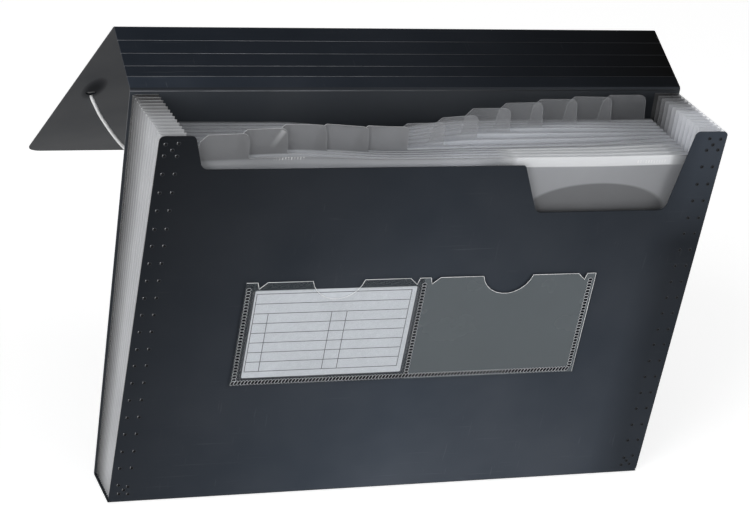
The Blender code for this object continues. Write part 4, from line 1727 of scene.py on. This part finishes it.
@dataclass
class LabelPocket:
    """The clear label pocket on the front, the bright line of its cut edge, a painted highlight, its welded seams,
    and the card in it.

    Attributes:
        film_front: How far the film's front lies out of the front panel's middle plane.
        bead_start: How far from the film's left side and foot its bright edge starts.
        facing: Least share of a face's normal along the panel's, for a face of the film's front.
        ring_line: Radius of the line that an oval ridge is drawn with.
        slot_share: Size of the dark slot in an oval, as a share of the oval's.
        slot_lift: How far the slot lies over the film.
        upright_ring: Width and height of an oval in an upright seam; foot_ring is for the foot seam.
        foot_slant: How far the foot seam's ovals lean along X, as a share of their height.
        seam_inset: How far the seams lie in from the film's sides; left_inset is for the left one.
        upright_span: How far the upright seams stay from the film's foot and from its head.
        foot_seam_rise: How far the foot seam lies over the film's foot.
    """

    left: float = 0.060
    width: float = 0.209
    foot: float = 0.0780
    height: float = 0.0685
    film_front: float = 0.00155
    facing: float = 0.9
    bead_radius: float = 0.00014
    bead_start: float = 0.0005
    ring_line: float = 0.00012
    slot_share: float = 0.93
    slot_lift: float = 0.00005
    ring_sides: int = 5
    ring_points: int = 14
    upright_ring: Pair = (0.0027, 0.00194)
    upright_pitch: float = 0.0020
    upright_span: Pair = (0.0042, 0.0016)
    foot_ring: Pair = (0.00194, 0.0031)
    foot_pitch: float = 0.0020
    foot_slant: float = 0.35
    foot_seam_rise: float = 0.0021
    seam_inset: float = 0.0026
    left_inset: float = 0.0019
    edge_highlight_colour: Triple = (0.95, 0.955, 0.965)
    slot_colour: Triple = (0.006, 0.007, 0.009)

    @property
    def left_x(self) -> float:
        """Where the film's left side is, from the middle of the file."""
        return self.left - SIZES.half

    def build(self) -> None:
        """Dress the film and the card, and make the edge bead and the seams."""
        dress("label_pocket", ClearFilm().material("label_film", SIZES.front))
        dress("index_card", RuledCard().material("ruled_card", SIZES.front))
        self.bead()
        builder = bmesh.new()
        self.seams(builder)
        piece = new_piece("label_seams", builder, WeldedFilm().material("welded_film"))
        slot = WeldedFilm(colour=self.slot_colour, bright=self.slot_colour, specular=0.0)
        piece.data.materials.append(slot.material("welded_slot"))
        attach(piece, "front")

    def bead(self) -> None:
        """Make the bright line of the film's cut edge, a painted highlight, along its head and down its right side.
        """
        panel = SIZES.front
        source = packed_mesh("label_pocket")
        front = {face for face in source.faces if face.normal.dot(panel.normal) > self.facing}
        builder = bmesh.new()
        for edge in source.edges:
            ends = [vertex.co.copy() for vertex in edge.verts]
            middle = (ends[0] + ends[1]) / 2
            beside = middle.x > self.left_x + self.bead_start
            above = (middle - panel.foot).dot(panel.along) > self.foot + self.bead_start
            rim = sum(face in front for face in edge.link_faces) == 1
            if beside and above and rim and edge.calc_length() > self.bead_radius:
                tube(builder, ends, self.bead_radius, self.ring_sides)
        source.free()
        finish = WeldedFilm(colour=self.edge_highlight_colour, bright=self.edge_highlight_colour)
        piece = new_piece("label_film_edge", builder, finish.material("film_edge"))
        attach(piece, "front")

    def seams(self, builder: Mesh) -> None:
        """Add the three upright seams, columns of ovals, and the foot seam, a row of slanted ones.

        Args:
            builder: The mesh that they go into.
        """
        left, right = self.left_x, self.left_x + self.width
        low, high = self.foot + self.upright_span[0], self.foot + self.height - self.upright_span[1]
        for x in (left + self.left_inset, (left + right) / 2, right - self.seam_inset):
            for number in range(int((high - low) / self.upright_pitch)):
                self.ring(builder, x, low + number * self.upright_pitch, self.upright_ring)
        start, rise = left + self.seam_inset / 2, self.foot + self.foot_seam_rise
        for number in range(int((right - self.seam_inset / 2 - start) / self.foot_pitch)):
            self.ring(builder, start + number * self.foot_pitch, rise, self.foot_ring, self.foot_slant)

    def ring(self, builder: Mesh, across: float, rise: float, size: Pair, slant: float = 0.0) -> None:
        """Add one small oval ridge, as the welding tool leaves it, and the dark slot in it.

        Args:
            builder: The mesh that it goes into.
            across: Its middle along X.
            rise: Its middle up the panel.
            size: Its width and height.
            slant: How far its upper part leans along X, as a share of its height.
        """
        points = []
        for cosine, sine in circle(self.ring_points):
            side, up = size[0] / 2 * cosine, size[1] / 2 * sine
            points.append(SIZES.front.at(across + side + slant * up, rise + up, self.film_front))
        tube(builder, [*points, points[0]], self.ring_line, self.ring_sides)
        film = SIZES.front.at(across, rise, self.film_front)
        slot = SIZES.front.at(across, rise, self.film_front + self.slot_lift)
        rim = [builder.verts.new(slot + (point - film) * self.slot_share) for point in points]
        builder.faces.new(rim).material_index = 1


@dataclass
class Studio:
    """A plain pale floor, soft lamps and an even surround.

    Attributes:
        level_strength: The surround's light from low down; overhead_strength is from above.
        sky_span: Between which heights of the view the light changes from the one to the other.
        floor_glow: What the floor shows besides the light on it.
        lamps: Name, place, size and power of each lamp.
        aim: Where the lamps point.
    """

    floor_size: float = 24.0
    floor_drop: float = 0.0002
    floor_colour: Triple = (0.80, 0.80, 0.80)
    white: Triple = (1.0, 1.0, 1.0)
    level_strength: float = 0.50
    overhead_strength: float = 0.22
    sky_span: Pair = (0.1, 0.8)
    floor_glow: float = 0.66
    lamps: tuple[tuple[str, Triple, float, float], ...] = (
        ("key_lamp", (-2.4, -1.6, 1.9), 2.0, 40.0),
        ("low_lamp", (-1.6, -1.7, 0.25), 1.0, 20.0),
        ("side_lamp", (1.25, -1.1, 0.35), 0.9, 11.0),
    )
    aim: Triple = (0.0, 0.0, 0.12)

    def build(self) -> None:
        """Make the floor, the lamps and the world."""
        self.floor()
        self.world()
        for name, place, size, power in self.lamps:
            data = bpy.data.lights.new(name, "AREA")
            data.shape = "SQUARE"
            data.size, data.energy = size, power
            lamp = link(name, data)
            lamp.location = place
            lamp.rotation_euler = (Vector(self.aim) - Vector(place)).to_track_quat("-Z", "Y").to_euler()
        bpy.context.scene.view_settings.view_transform = "Standard"

    def seen(self, graph: Graph) -> Socket:
        """Give 1 for what the camera sees, straight or in a reflection, and 0 for what only lights the file."""
        rays = graph.add("LightPath").outputs
        return graph.most(*(rays[f"Is {kind} Ray"] for kind in ("Camera", "Glossy", "Transmission")))

    def floor(self) -> None:
        """Make the floor, which keeps the shadow but shows white where it is lit."""
        ends, height = (-self.floor_size / 2, self.floor_size / 2), -self.floor_drop
        mesh = bpy.data.meshes.new("studio_floor")
        mesh.from_pydata([(x, y, height) for x in ends for y in ends], [], [(0, 2, 3, 1)])
        floor = link("studio_floor", mesh)
        material = bpy.data.materials.new("studio_floor")
        material.use_nodes = True
        graph = Graph(material.node_tree)
        graph.tree.nodes.clear()
        matte = graph.add("BsdfDiffuse", {"Color": self.floor_colour})
        strength = graph.times(self.seen(graph), self.floor_glow)
        glow = graph.add("Emission", {"Color": self.white, "Strength": strength})
        both = graph.add("AddShader", {0: matte.outputs[0], 1: glow.outputs[0]})
        graph.add("OutputMaterial", {"Surface": both.outputs[0]})
        mesh.materials.append(material)

    def world(self) -> None:
        """Make the surround, white to the camera."""
        world = bpy.data.worlds.new("studio")
        world.use_nodes = True
        graph = Graph(world.node_tree)
        shade = graph.tree.nodes["Background"].inputs
        height = graph.add("SeparateXYZ", {0: graph.add("TexCoord").outputs["Generated"]}).outputs[2]
        strength = graph.ramp(height, *self.sky_span, self.level_strength, self.overhead_strength)
        graph.feed(shade["Color"], self.white)
        graph.feed(shade["Strength"], graph.most(self.seen(graph), strength))
        bpy.context.scene.world = world


def corners(box: tuple[Vector, Vector]) -> list[list[float]]:
    """Give a box as plain numbers."""
    return [[float(value) for value in corner] for corner in box]


def main() -> None:
    """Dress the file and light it."""
    logging.basicConfig(level=logging.INFO, format="%(name)s: %(message)s")
    for step in (PhotoCamera(), ElasticCord(), Cover(), WeldMarks(), Pockets(), LabelPocket(), Studio()):
        step.build()
        LOG.info("%s built", type(step).__name__)


if __name__ == "__main__":
    main()
